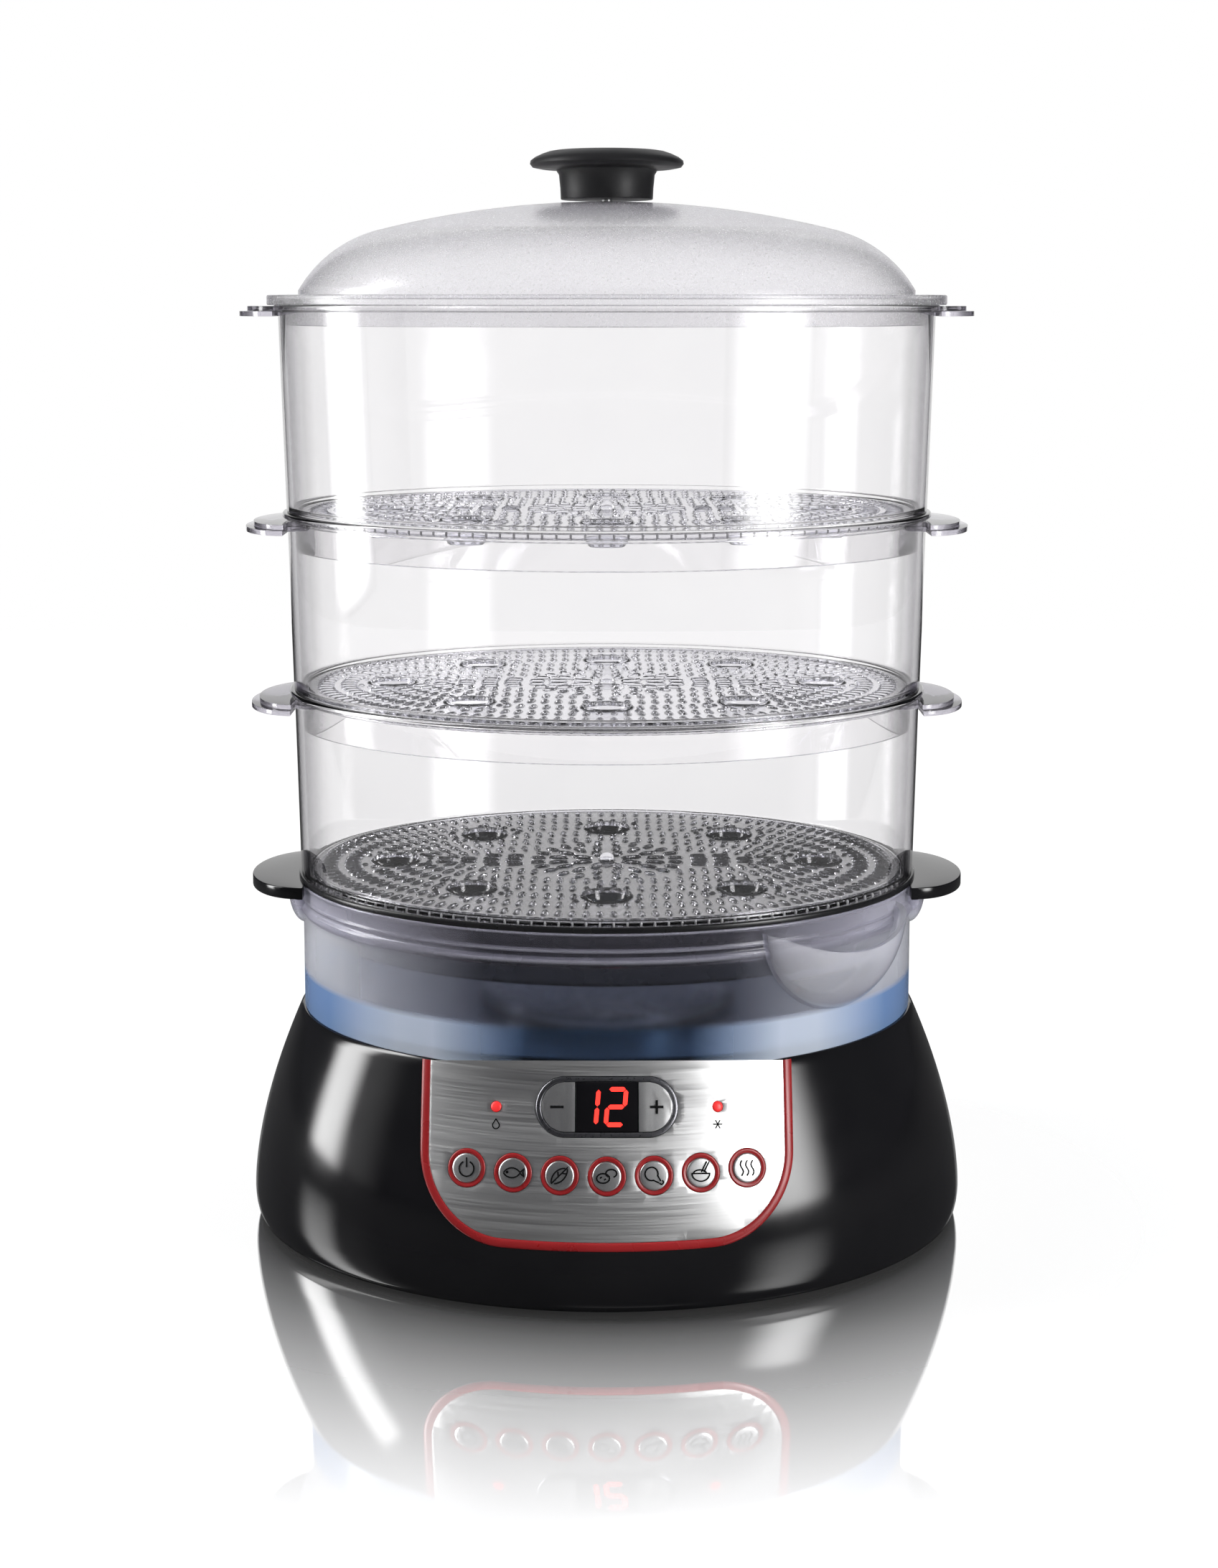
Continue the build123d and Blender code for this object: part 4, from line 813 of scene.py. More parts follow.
@dataclass
class BaseUnit:
    """The black base: housing, underside and feet."""

    shop: Workshop
    form: BaseForm = field(default_factory=BaseForm)
    wall: float = 3.0
    deck_hole: float = 56.0
    panel_half_width: float = 67.2
    panel_bottom: float = 25.7
    panel_corner: float = 29.4

    def build(self) -> None:
        """Builds the housing and dresses what is under and inside it."""
        self.housing()
        for node, coat in (
            ("bottom_cover", Coat.SATIN_BLACK), ("rubber_feet", Coat.FOOT_RUBBER),
            ("cover_screws", Coat.STEEL),
            ("cord_gland", Coat.SATIN_BLACK), ("control_board", Coat.CIRCUIT_BOARD),
            ("tact_switches", Coat.COMPONENT_GREY),
            ("lamp_leds", Coat.COMPONENT_GREY), ("power_board", Coat.CIRCUIT_BOARD),
            ("transformer", Coat.COMPONENT_GREY),
            ("mains_relay", Coat.COMPONENT_GREY), ("board_screws", Coat.STEEL),
            ("display_module", Coat.COMPONENT_GREY),
            ("heater_plate", Coat.STAINLESS), ("heater_clamp", Coat.STEEL), ("clamp_nuts", Coat.STEEL),
            ("heating_element", Coat.ALUMINIUM), ("thermostat", Coat.COMPONENT_GREY),
            ("tank_seal", Coat.SILICONE),
        ):
            self.shop.dress(node, coat)

    def housing(self) -> None:
        """Builds the housing: a turned skin drawn in along Y, with the window of its control panel."""
        form = self.form
        heights = [
            form.foot + (form.belly_height - form.foot) * math.sin(math.pi / 2 * n / 6) ** 2 for n in range(7)
        ]
        heights += [form.belly_height + (form.top - 1.2 - form.belly_height) * n / 34 for n in range(1, 35)]
        outer = [Corner(form.half_width(h), h) for h in heights]
        deck = [
            Corner(form.half_width(form.top) - 0.1, form.top - 0.5),
            Corner(form.half_width(form.top) - 0.5, form.top - 0.12),
            Corner(form.half_width(form.top) - 1.1, form.top), Corner(self.deck_hole + 40, form.top),
            Corner(self.deck_hole, form.top), Corner(self.deck_hole, form.top - self.wall),
            Corner(self.deck_hole + 40, form.top - self.wall),
            Corner(form.half_width(form.top) - self.wall - 1, form.top - self.wall),
        ]
        inner = [Corner(form.half_width(h) - self.wall, h) for h in heights[::-4]]
        inner.append(Corner(form.sill - self.wall, form.foot))
        shape = turned([*outer, *deck, *inner], oval=1.0, steps=240)
        for vert in shape.verts:
            reach = math.hypot(vert.co.x, vert.co.y)
            if reach > self.deck_hole + 20:
                vert.co.y *= (reach - form.step) / reach
        window = bmesh.new()
        corners = [
            window.verts.new((x, z, 0)) for x, z in (
                (-self.panel_half_width, form.top - 4.0), (-self.panel_half_width, self.panel_bottom),
                (self.panel_half_width, self.panel_bottom), (self.panel_half_width, form.top - 4.0),
            )
        ]
        joined(window, corners, True)
        round_off(window, corners[1:3], self.panel_corner, 20)
        filled(window)
        slab(window, 80.0)
        bmesh.ops.rotate(
            window, cent=(0, 0, 0), matrix=Matrix.Rotation(math.pi / 2, 3, "X"), verts=window.verts
        )
        shifted(window, 0, -140, 0)
        self.shop.finish(
            carved(shape, window), "housing_shell", "base", Coat.GLOSS_BLACK, ["base_housing"], 32
        )
        LOG.info("housing built")


class Sign(Enum):
    """Plain marks beside the lamps and on the keys."""

    DROP = "drop"
    CRYSTAL = "crystal"
    POWER = "power"
    FISH = "fish"
    LEAF = "leaf"
    ROOTS = "roots"
    DRUMSTICK = "drumstick"
    RICE_BOWL = "rice_bowl"
    HEAT = "heat"
    MINUS = "minus"
    PLUS = "plus"


def arc(
    middle: Point, radius: float, start: float, end: float, steps: int = 10, squash: float = 1.0
) -> list[Point]:
    """Returns points along an arc, with its angles in degrees."""
    return [
        (
            middle[0] + radius * math.cos(math.radians(start + (end - start) * n / steps)),
            middle[1] + radius * squash * math.sin(math.radians(start + (end - start) * n / steps)),
        )
        for n in range(steps + 1)
    ]


def strokes(sign: Sign) -> list[list[Point]]:
    """Returns the lines of a mark, in a box about 6 mm wide."""
    lines: dict[Sign, list[list[Point]]] = {
        Sign.DROP: [[(0, 2.2), *arc((0, -0.4), 1.45, 25, -205, 14), (0, 2.2)]],
        Sign.CRYSTAL: [[(-1.8, 0), (1.8, 0)], [(-0.9, -1.56), (0.9, 1.56)], [(-0.9, 1.56), (0.9, -1.56)]],
        Sign.POWER: [arc((0, -0.2), 2.2, 60, -240, 20), [(0, 0.4), (0, 2.9)]],
        Sign.FISH: [
            arc((-0.3, -1.5), 2.9, 35, 145, 10), arc((-0.3, 1.5), 2.9, -145, -35, 10),
            [(2.1, 0.1), (3.3, 1.1), (3.0, 0), (3.3, -1.1), (2.1, -0.1)], arc((-1.7, 0.2), 0.2, 0, 360, 6),
        ],
        Sign.LEAF: [
            [(-2.4, -2.2), (2.3, 2.3)], arc((1.5, -1.9), 4.0, 90, 180, 10),
            arc((-1.9, 1.9), 4.2, -84, -2, 10),
            [(-0.4, -0.3), (-0.5, 1.0)], [(0.6, 0.7), (1.9, 0.5)],
        ],
        Sign.ROOTS: [
            arc((-1.1, -0.5), 1.9, 0, 360, 16, 0.72), arc((1.3, 0.9), 1.6, -60, 230, 14, 0.72),
            [(-1.9, -0.4), (-1.6, -0.2)], [(-0.7, -0.9), (-0.4, -0.7)]
        ],
        Sign.DRUMSTICK: [
            arc((-0.7, 0.5), 1.9, -15, 285, 18), [(1.1, 0.0), (1.9, -1.4)], [(-0.2, -1.3), (1.3, -2.0)],
            arc((2.2, -1.9), 0.55, 60, -150, 8),
        ],
        Sign.RICE_BOWL: [
            [(-2.6, -0.2), (2.6, -0.2)], arc((0, -0.2), 2.6, 180, 360, 14, 0.85),
            arc((-0.3, -0.2), 1.9, 15, 165, 8, 0.55),
            [(0.2, 0.3), (1.7, 3.2)], [(0.9, 0.3), (2.4, 3.0)],
        ],
        Sign.HEAT: [
            [(x + 0.45 * math.sin(n * 0.9), -2.1 + n * 0.6) for n in range(8)] for x in (-1.6, 0.0, 1.6)
        ],
        Sign.MINUS: [[(-1.7, 0), (1.7, 0)]],
        Sign.PLUS: [[(-1.7, 0), (1.7, 0)], [(0, -1.7), (0, 1.7)]],
    }
    return lines[sign]


@dataclass(frozen=True)
class Print:
    """How a mark is printed: its scale, its height over the skin, and its lines' width and thickness."""

    size: float
    height: float
    width: float
    thickness: float = 0.1


@dataclass
class ControlFront:
    """The steel panel with its trim, keys, lamps and display."""

    shop: Workshop
    form: BaseForm = field(default_factory=BaseForm)
    half_width: float = 67.8
    bottom: float = 25.1
    corner: float = 30.0
    trim_width: float = 3.2
    key_count: int = 7
    key_pitch: float = 16.85
    key_row: float = -5.4
    key_bow: float = 2.6
    key_radius: float = 5.6
    ring_radius: float = 6.85
    pill_row: float = 18.8
    pill_width: float = 51.2
    pill_height: float = 21.4
    pill_rim: float = 1.9
    window_width: float = 22.6
    lamp_across: float = 40.0
    lamp_radius: float = 1.9
    lamp_mark_drop: float = 6.2
    gap: float = 0.15
    sheet: float = 1.2
    sheet_rise: float = 0.2
    grid: float = 4.0
    grid_start: float = 0.3
    key_print: Print = Print(1.22, 1.03, 0.50)
    side_print: Print = Print(1.2, 0.95, 0.9)
    lamp_print: Print = Print(0.85, 0.22, 0.4)
    trim_rows: tuple[Point, ...] = (
        (0.02, -1.0), (0.02, 0.15), (0.35, 0.45), (0.9, 0.6), (1.6, 0.64), (2.3, 0.6), (2.85, 0.45),
        (3.18, 0.15),
        (3.18, -1.0),
    )
    cap_inset: float = 0.40
    cap_steps: tuple[Point, ...] = (
        (0, -1.6), (0, 0.45), (0.12, 0.68), (0.38, 0.82), (0.8, 0.88), (2.4, 0.93)
    )
    cap_crown: float = 0.95
    lens_steps: tuple[Point, ...] = ((0, -1.5), (0, 0.15), (0.15, 0.4), (0.5, 0.62), (1.1, 0.78))
    lens_crown: float = 0.84
    figure_height: float = 12.4
    figure_width: float = 6.3
    figure_bar: float = 1.6
    figure_lean: float = 0.09

    def build(self) -> None:
        """Builds every piece of the front."""
        self.trim()
        self.panel()
        self.keys()
        self.display()
        self.lamps()

    def lay(self, shape: Shape, name: str, body: str, coat: Coat, replaces: Sequence[str] = (),
            sharp: float = 40.0, material: Material | None = None) -> None:
        """Lays a flat shape on the base's skin and finishes it.

        Args:
            shape: The shape, whose Z is its height over the skin. It is freed.
            name: The piece's name.
            body: The body that it rides on.
            coat: Its finish.
            replaces: The solids that it stands for.
            sharp: The fold, in degrees, past which an edge stays sharp.
            material: A material to use in place of the coat's.
        """
        self.form.wrap(shape)
        self.shop.finish(shape, name, body, coat, replaces, sharp, material)

    def places(self) -> list[Point]:
        """Returns where the seven round keys are."""
        middle = (self.key_count - 1) / 2
        return [
            ((n - middle) * self.key_pitch, self.key_row + self.key_bow * ((n - middle) / middle) ** 2)
            for n in range(self.key_count)
        ]

    def outline(self, shape: Shape, inset: float, height: float = 0.0) -> Corners:
        """Adds the open U of the panel, drawn in by inset, to a flat layout.

        Args:
            shape: The layout.
            inset: How far the outline is drawn in.
            height: Its height over the skin.

        Returns:
            Its corners in order from the top left to the top right.
        """
        across, low, top = self.half_width - inset, self.bottom + inset, self.form.top - 0.3
        line = bmesh.new()
        ends = [
            line.verts.new((x, z, 0))
            for x, z in ((-across, top), (-across, low), (across, low), (across, top))
        ]
        joined(line, ends)
        round_off(line, ends[1:3], self.corner - inset, 22)
        for _ in range(2):
            bmesh.ops.subdivide_edges(line, edges=[e for e in line.edges if e.calc_length() > 6], cuts=3)
        start = min(line.verts, key=lambda v: (v.co.x - 0.01 * v.co.y))
        ordered, seen, vert = [], set(), start
        while vert is not None:
            seen.add(vert)
            ordered.append((vert.co.x, vert.co.y))
            vert = next((e.other_vert(vert) for e in vert.link_edges if e.other_vert(vert) not in seen), None)
        line.free()
        made = [shape.verts.new((*self.form.front(x, z), height)) for x, z in ordered]
        joined(shape, made)
        return made

    def trim(self) -> None:
        """Builds the red band round the panel, crowned across its width."""
        shape = bmesh.new()
        lines = [self.outline(shape, inset, height) for inset, height in self.trim_rows]
        for first, second in zip(lines, [*lines[1:], lines[0]]):
            edges = [
                e
                for line in (first, second) for a, b in zip(line, line[1:]) if (e := shape.edges.get((a, b)))
            ]
            bmesh.ops.bridge_loops(shape, edges=edges)
        capped(shape)
        self.lay(shape, "trim_band", "base", Coat.RED_TRIM, ["panel_trim"], 50)

    def panel(self) -> None:
        """Builds the steel sheet with its holes."""
        shape = bmesh.new()
        line = self.outline(shape, self.trim_width + 0.05)
        shape.edges.new((line[0], line[-1]))
        for place in self.places():
            ring_of(shape, self.ring_radius + self.gap, place, 40)
        stadium(
            shape, self.pill_width + 2 * self.gap, self.pill_height + 2 * self.gap, (0, self.pill_row), 64
        )
        for side in (-1, 1):
            ring_of(shape, self.lamp_radius + self.gap, (side * self.lamp_across, self.pill_row), 24)
        filled(shape)
        for n in range(-16, 17):
            sliced(shape, (self.grid * n + self.grid_start, 0, 0), (1, 0, 0))
        for n in range(-9, 10):
            sliced(shape, (0, self.grid * n + self.grid_start, 0), (0, 1, 0))
        slab(shape, self.sheet)
        shifted(shape, z=self.sheet_rise)
        soften(shape, 0.22, 2, 60, above(0))
        self.lay(shape, "steel_panel", "base", Coat.BRUSHED_STEEL, ["control_panel"], 30)

    def cap(
        self, radius: float, steps: Sequence[Point], crown: float, at: Point, segments: int = 48
    ) -> Shape:
        """Builds a round cap from its foot to its middle.

        Args:
            radius: Its radius.
            steps: How far in from the radius each ring is, and its height over the skin.
            crown: The height of its middle.
            at: The cap's middle.
            segments: How many sides it has.

        Returns:
            The cap, laid flat.
        """
        rings = [Corner(radius - inset, height) for inset, height in steps]
        shape = turned([*rings, Corner(0.0, crown)], closed=False, steps=segments, oval=1.0)
        capped(shape)
        outward(shape)
        shifted(shape, *at)
        return shape

    def keys(self) -> None:
        """Builds the seven round keys, their red rings and their marks."""
        names = [
            "start_stop_key", *[f"program_key_{n}" for n in range(1, self.key_count - 1)], "keep_warm_key"
        ]
        signs = (Sign.POWER, Sign.FISH, Sign.LEAF, Sign.ROOTS, Sign.DRUMSTICK, Sign.RICE_BOWL, Sign.HEAT)
        rings = []
        for name, sign, place in zip(names, signs, self.places()):
            r, k = self.ring_radius, self.key_radius - 0.28
            rings.append(
                self.band(
                    [
                        (r, -1.4), (r, 0.25), (r - 0.22, 0.46), (r - 0.55, 0.52), (r - 0.9, 0.44), (k, 0.2),
                        (k, -1.4)
                    ],
                    place
                )
            )
            cap = self.cap(self.key_radius - self.cap_inset, self.cap_steps, self.cap_crown, place)
            self.lay(cap, f"{name}_cap", name, Coat.KEY_SILVER, [name], 40)
            self.mark(sign, place, self.key_print, name, name)
        whole = gathered(rings)
        self.lay(whole, "key_ring_set", "base", Coat.RED_TRIM, ["key_rings"], 50)

    def band(self, rings: Sequence[Point], at: Point, segments: int = 48) -> Shape:
        """Builds a closed round band from an outline of radius and height, laid flat at a place."""
        shape = turned([Corner(radius, height) for radius, height in rings], steps=segments, oval=1.0)
        shifted(shape, *at)
        return shape

    def mark(self, sign: Sign, at: Point, look: Print, name: str, body: str) -> None:
        """Prints a mark of plain lines.

        Args:
            sign: Which mark.
            at: Its middle.
            look: How it is printed.
            name: The name of the piece that it is printed on.
            body: The body that it rides on.
        """
        shape = bmesh.new()
        for line in strokes(sign):
            spots = [Vector((at[0] + x * look.size, at[1] + y * look.size, look.height)) for x, y in line]
            for first, second in zip(spots, spots[1:]):
                along = second - first
                turn = math.atan2(along.y, along.x)
                middle = (first + second) / 2
                place = placed(middle, turn, (along.length + look.width * 0.8, look.width, look.thickness))
                bmesh.ops.create_cube(shape, size=1.0, matrix=place)
        ink = self.shop.paints.special("printed_ink", INK)
        self.lay(shape, f"{name}_mark", body, Coat.SATIN_BLACK, sharp=30, material=ink)

    def pill_part(
        self, left: float, right: float, inset: float, top: float, depth: float, cuts: int = 5
    ) -> Shape:
        """Builds a stretch of the display's pill between two places across it.

        Args:
            left: Where it starts.
            right: Where it ends.
            inset: How far inside the pill's outline it keeps.
            top: The height of its face over the skin.
            depth: Its thickness.
            cuts: How many cuts across give it the skin's curve.

        Returns:
            The part, laid flat.
        """
        shape = bmesh.new()
        stadium(shape, self.pill_width - 2 * inset, self.pill_height - 2 * inset, (0, self.pill_row), 64)
        filled(shape)
        for place, side in ((left, -1), (right, 1)):
            sliced(shape, (place, 0, 0), (side, 0, 0), True)
        for n in range(1, cuts):
            sliced(shape, (left + (right - left) * n / cuts, 0, 0), (1, 0, 0))
        slab(shape, depth)
        shifted(shape, 0, 0, top)
        return shape

    def display(self) -> None:
        """Builds the display's rim, window, lit figures and its two side keys."""
        rim = bmesh.new()
        stadium(rim, self.pill_width, self.pill_height, (0, self.pill_row), 64)
        stadium(
            rim, self.pill_width - 2 * self.pill_rim, self.pill_height - 2 * self.pill_rim,
            (0, self.pill_row), 64
        )
        filled(rim)
        slab(rim, 2.2)
        shifted(rim, 0, 0, 0.78)
        soften(rim, 0.5, 3, 60, above(0.5))
        self.lay(rim, "display_rim", "base", Coat.BEZEL_GREY, ["display_bezel"], 40)
        half = self.window_width / 2
        window = self.pill_part(-half, half, self.pill_rim + 0.1, 0.38, 2.0)
        soften(window, 0.15, 2, 60, above(0.2))
        self.lay(window, "display_pane", "base", Coat.WINDOW_BLACK, ["display_window"], 40)
        end = self.pill_width / 2
        for name, left, right, sign in (
            ("minus_key", -end, -half - 0.2, Sign.MINUS), ("plus_key", half + 0.2, end, Sign.PLUS)
        ):
            key = self.pill_part(left, right, self.pill_rim + 0.15, 0.88, 3.0)
            soften(key, 0.45, 3, 60, above(0.5))
            self.lay(key, f"{name}_cap", name, Coat.KEY_SILVER, [name], 40)
            middle = (left + right) / 2 + (1.0 if left < 0 else -1.0) * 0.6
            self.mark(sign, (middle, self.pill_row), self.side_print, name, name)
        self.figures()

    def figures(self) -> None:
        """Builds the two lit figures from six-cornered bars that lean a little."""
        lit = (("bc", -6.6), ("abged", 3.3))
        tall, wide, bar = self.figure_height, self.figure_width, self.figure_bar
        bars = {
            "a": (0, tall / 2, True), "g": (0, 0, True), "d": (0, -tall / 2, True),
            "f": (-wide / 2, tall / 4, False),
            "b": (wide / 2, tall / 4, False), "e": (-wide / 2, -tall / 4, False),
            "c": (wide / 2, -tall / 4, False),
        }
        shape = bmesh.new()
        for names, across in lit:
            for x, y, flat in (bars[name] for name in names):
                long, thick = ((wide if flat else tall / 2) - 0.35) / 2, bar / 2
                corners = (
                    (-long, 0), (thick - long, thick), (long - thick, thick), (long, 0),
                    (long - thick, -thick),
                    (thick - long, -thick)
                )
                shape.faces.new(
                    [
                        shape.verts.new((x + across + (u if flat else v), y + (v if flat else -u), 0))
                        for u, v in corners
                    ]
                )
        slab(shape, 0.1)
        for vert in shape.verts:
            vert.co.x += self.figure_lean * vert.co.y
            vert.co.y += self.pill_row
            vert.co.z += 0.45
        lit_red = self.shop.paints.special("figure_lit", FIGURE_RED)
        self.lay(shape, "figures_lit", "base", Coat.RED_LENS, sharp=30, material=lit_red)

    def lamps(self) -> None:
        """Builds the two small lamps and the marks under them."""
        for name, side, sign in (("refill_lamp", -1, Sign.DROP), ("descale_lamp", 1, Sign.CRYSTAL)):
            place = (side * self.lamp_across, self.pill_row)
            lens = self.cap(self.lamp_radius, self.lens_steps, self.lens_crown, place, 28)
            self.lay(lens, f"{name}_lens", "base", Coat.RED_LENS, [name], 60)
            self.mark(sign, (place[0], place[1] - self.lamp_mark_drop), self.lamp_print, name, "base")


# ---------------------------------------------------------------- tank and tray
@dataclass
class Reservoir:
    """The frosted tank with its filling spout and the black drip tray on it."""

    shop: Workshop
    foot: float = 85.0
    floor: float = 3.0
    rim: float = 134.5
    lip: float = 136.2
    half_width: float = 120.3
    wall: float = 2.6
    spout_from: float = math.radians(28.0)
    spout_to: float = math.radians(66.5)
    spout_reach: float = 15.0
    spout_depth: float = 36.0
    spout_wall: float = 2.0
    spout_dip: float = 9.5
    tray_rim: float = 138.5
    tray_half_width: float = 121.8
    tray_wall: float = 2.2
    basin: float = 114.5
    tray_floor: float = 114.5
    chimney: float = 30.0
    chimney_height: float = 15.0
    grip_reach: float = 140.5
    grip_span: float = 31.0

    def build(self) -> None:
        """Builds the tank and the tray."""
        self.tank()
        self.tray()

    def bulb(self, sizes: Triple, inset: float, place: Matrix) -> Shape:
        """Returns the lower half of an ellipsoid, drawn in by inset and put in its place."""
        shape = bmesh.new()
        bmesh.ops.create_uvsphere(shape, u_segments=72, v_segments=48, radius=1.0)
        sliced(shape, (0, 0, 0), (0, 0, 1), True, 1e-5)
        capped(shape)
        bmesh.ops.scale(shape, vec=tuple(size - inset for size in sizes), verts=shape.verts)
        bmesh.ops.transform(shape, matrix=place, verts=shape.verts)
        outward(shape)
        return shape

    def core(self, half_width: float, low: float, high: float) -> Shape:
        """Returns a solid oval drum."""
        return turned(
            [Corner(0, low), Corner(half_width, low), Corner(half_width, high), Corner(0, high)], closed=False
        )

    def spout(self) -> tuple[Matrix, Triple]:
        """Returns the spout's place, with X along its chord and Y out of the tank, and its three sizes."""
        first, last = (
            Vector((self.half_width * math.sin(a), -self.half_width * OVAL * math.cos(a), 0))
            for a in (self.spout_from, self.spout_to)
        )
        along = (last - first).normalized()
        out = along.cross(Vector((0, 0, 1)))
        middle = (first + last) / 2
        turn = (self.spout_from + self.spout_to) / 2
        crown = Vector((self.half_width * math.sin(turn), -self.half_width * OVAL * math.cos(turn), 0))
        place = Matrix.Identity(4)
        place.col[0], place.col[1] = (*along, 0), (*-out, 0)
        place.col[3] = (middle.x, middle.y, self.rim, 1)
        return place, (
            (last - first).length / 2, (crown - middle).dot(out) + self.spout_reach, self.spout_depth
        )

    def lip_cut(self, place: Matrix, half: float) -> Shape:
        """Returns the block over the spout's dipping lip."""
        shape = bmesh.new()
        steps = 36
        line = [(half * 1.3 * (2 * n / steps - 1), 0.0) for n in range(steps + 1)]
        line = [(x, -1.0 - (self.spout_dip - 1.0) * max(0.0, 1 - (x / half) ** 2)) for x, _ in line]
        verts = [shape.verts.new((x, 80, z)) for x, z in line] + [
            shape.verts.new((x, 80, 40)) for x in (half * 1.3, -half * 1.3)
        ]
        face = shape.faces.new(verts)
        made = bmesh.ops.extrude_face_region(shape, geom=[face], use_keep_orig=True)
        bmesh.ops.translate(shape, vec=(0, -160, 0), verts=grown(made["geom"], bmesh.types.BMVert))
        bmesh.ops.transform(shape, matrix=place, verts=shape.verts)
        outward(shape)
        return shape

    def tank(self) -> None:
        """Builds the tank: oval wall, beaded collar, filling spout and two side ears."""
        outer, inner, rim = self.half_width, self.half_width - self.wall, self.rim
        wall = turned([
            Corner(0, self.foot), Corner(outer, self.foot, 0.6), Corner(outer, 123.3, 0.4),
            Corner(outer + 1.2, 124.4, 0.7),
            Corner(outer + 1.2, 126.9, 0.7), Corner(outer + 0.4, 127.6, 0.3), Corner(outer + 0.4, 128.7, 0.3),
            Corner(outer + 1.0, 129.2, 0.3),
            Corner(outer + 1.0, 129.9, 0.4), Corner(outer + 0.6, 130.4, 0.3), Corner(outer + 0.7, 134.6, 0.4),
            Corner(outer + 1.2, 135.2, 0.3),
            Corner(outer + 1.2, self.lip, 0.5), Corner(outer, self.lip, 0.4), Corner(outer, rim, 0.2),
            Corner(inner, rim, 0.5),
            Corner(inner, self.foot + self.floor, 2.0, 4), Corner(0, self.foot + self.floor),
        ], closed=False)
        place, sizes = self.spout()
        window = carved(self.bulb(sizes, self.spout_wall, place), self.core(outer + 40, 114.0, 200))
        wall = carved(wall, window)
        cup = carved(self.bulb(sizes, 0, place), self.bulb(sizes, self.spout_wall, place))
        cup = carved(carved(cup, self.core(outer - 0.3, 60, 200)), self.lip_cut(place, sizes[0]))
        ears = []
        for side in (-1, 1):
            at = Matrix.Translation((side * (outer - 1.2), 0, rim - 3.5))
            ear = carved(
                self.bulb((7.2, 20.0, 15.0), 0, at),
                self.bulb((7.2, 20.0, 15.0), 1.8, at @ Matrix.Translation((0, 0, 0.01)))
            )
            ears.append(carved(ear, self.core(outer - 0.3, 60, 200)))
        self.shop.finish(gathered([wall, *ears]), "tank_shell", "base", Coat.FROSTED_TANK, ["water_tank"], 34)
        # The spout takes a lighter copy of the tank plastic: painted light.
        pale = self.shop.paints.special("frosted_spout_painted_light", SPOUT_PAINTED_LIGHT)
        self.shop.finish(cup, "tank_spout", "base", Coat.FROSTED_TANK, (), 34, pale)

    def tray(self) -> None:
        """Builds the tray: basin, rim, steam chimney and two grips."""
        wall, seat = self.tray_wall, self.tray_half_width - self.tray_wall
        over = self.lip + 0.1
        basin = turned([
            Corner(self.chimney - wall, self.tray_floor), Corner(self.basin - wall, self.tray_floor, 2.0, 4),
            Corner(self.basin, self.tray_floor + wall, 0.6), Corner(self.basin, self.rim),
            Corner(seat + 0.6, self.rim, 0.1),
            Corner(seat + 0.6, over, 0.1), Corner(self.tray_half_width, over, 0.4),
            Corner(self.tray_half_width, self.tray_rim, 0.8, 4),
            Corner(seat, self.tray_rim, 0.5), Corner(seat, self.rim + 1.6, 0.3),
            Corner(self.basin - wall, self.rim + 1.6, 0.8),
            Corner(self.basin - wall, self.tray_floor + wall, 1.5, 4),
            Corner(self.chimney, self.tray_floor + wall, 0.5),
            Corner(self.chimney, self.tray_floor + self.chimney_height, 0.7, 3),
            Corner(self.chimney - wall, self.tray_floor + self.chimney_height, 0.7, 3),
        ])
        for vert in basin.verts:
            flat = math.hypot(vert.co.x, vert.co.y / OVAL)
            if flat < self.chimney + 0.5:
                vert.co.y /= OVAL
        grips = Grip(
            self.grip_reach, self.half_width - 2, self.grip_span, self.rim - 2.3, 4.6, 1.6, 1.0
        ).pair()
        grips = [carved(grip, self.core(self.half_width + 1.5, 60, over)) for grip in grips]
        soft = self.shop.paints.special("tray_black", TRAY_BLACK)
        self.shop.finish(basin, "tray_shell", "drip_tray", Coat.GLOSS_BLACK, ["drip_tray"], 40, soft)
        self.shop.finish(gathered(grips), "tray_grips", "drip_tray", Coat.GLOSS_BLACK, (), 40)


@dataclass(frozen=True)
class Grip:
    """A half-oval grip that stands out at each side, with a lip under its edge when lip is above zero."""

    reach: float
    root: float
    span: float
    low: float
    thickness: float
    roundness: float
    inward: float
    lip: float = 0.0
    lip_wall: float = 2.2

    def pair(self) -> list[Shape]:
        """Returns the right grip and the left grip."""
        return [self.one(1), self.one(-1)]

    def one(self, side: int) -> Shape:
        """Returns the grip on one side, which is 1 or -1."""
        shape = bmesh.new()
        ring_of(shape, 1.0, (self.root, 0), 72, (self.reach - self.root, self.span))
        filled(shape)
        sliced(shape, (self.root - self.inward, 0, 0), (-1, 0, 0), True)
        slab(shape, self.thickness + self.lip)
        if self.lip:
            under_side = [face for face in shape.faces if face.normal.z < -0.5]
            bmesh.ops.inset_region(
                shape, faces=under_side, thickness=self.lip_wall, use_boundary=True, use_even_offset=True
            )
            inner = {vert for face in under_side for vert in face.verts}
            bmesh.ops.translate(shape, vec=(0, 0, self.lip), verts=list(inner))
        shifted(shape, 0, 0, self.low + self.thickness)
        soften(shape, self.roundness, 4, 60, lambda edge: all(v.co.x > self.root + 0.5 for v in edge.verts))
        if side < 0:
            bmesh.ops.scale(shape, vec=(-1, 1, 1), verts=shape.verts)
        outward(shape)
        return shape


# ---------------------------------------------------------------- bowls and plates
@dataclass(frozen=True)
class Tier:
    """The sizes of one bowl, in millimetres."""

    number: int
    foot: float
    height: float
    foot_half: float
    rim_half: float
    nest: float
    shelf_drop: float
    skirt: float

    def skirt_outer(self) -> float:
        """Returns the half width of the skirt that nests in the rim below."""
        return self.nest - 0.5

    def plate_half(self) -> float:
        """Returns the half width of the plate."""
        return self.skirt_outer() - 1.6 - 0.8


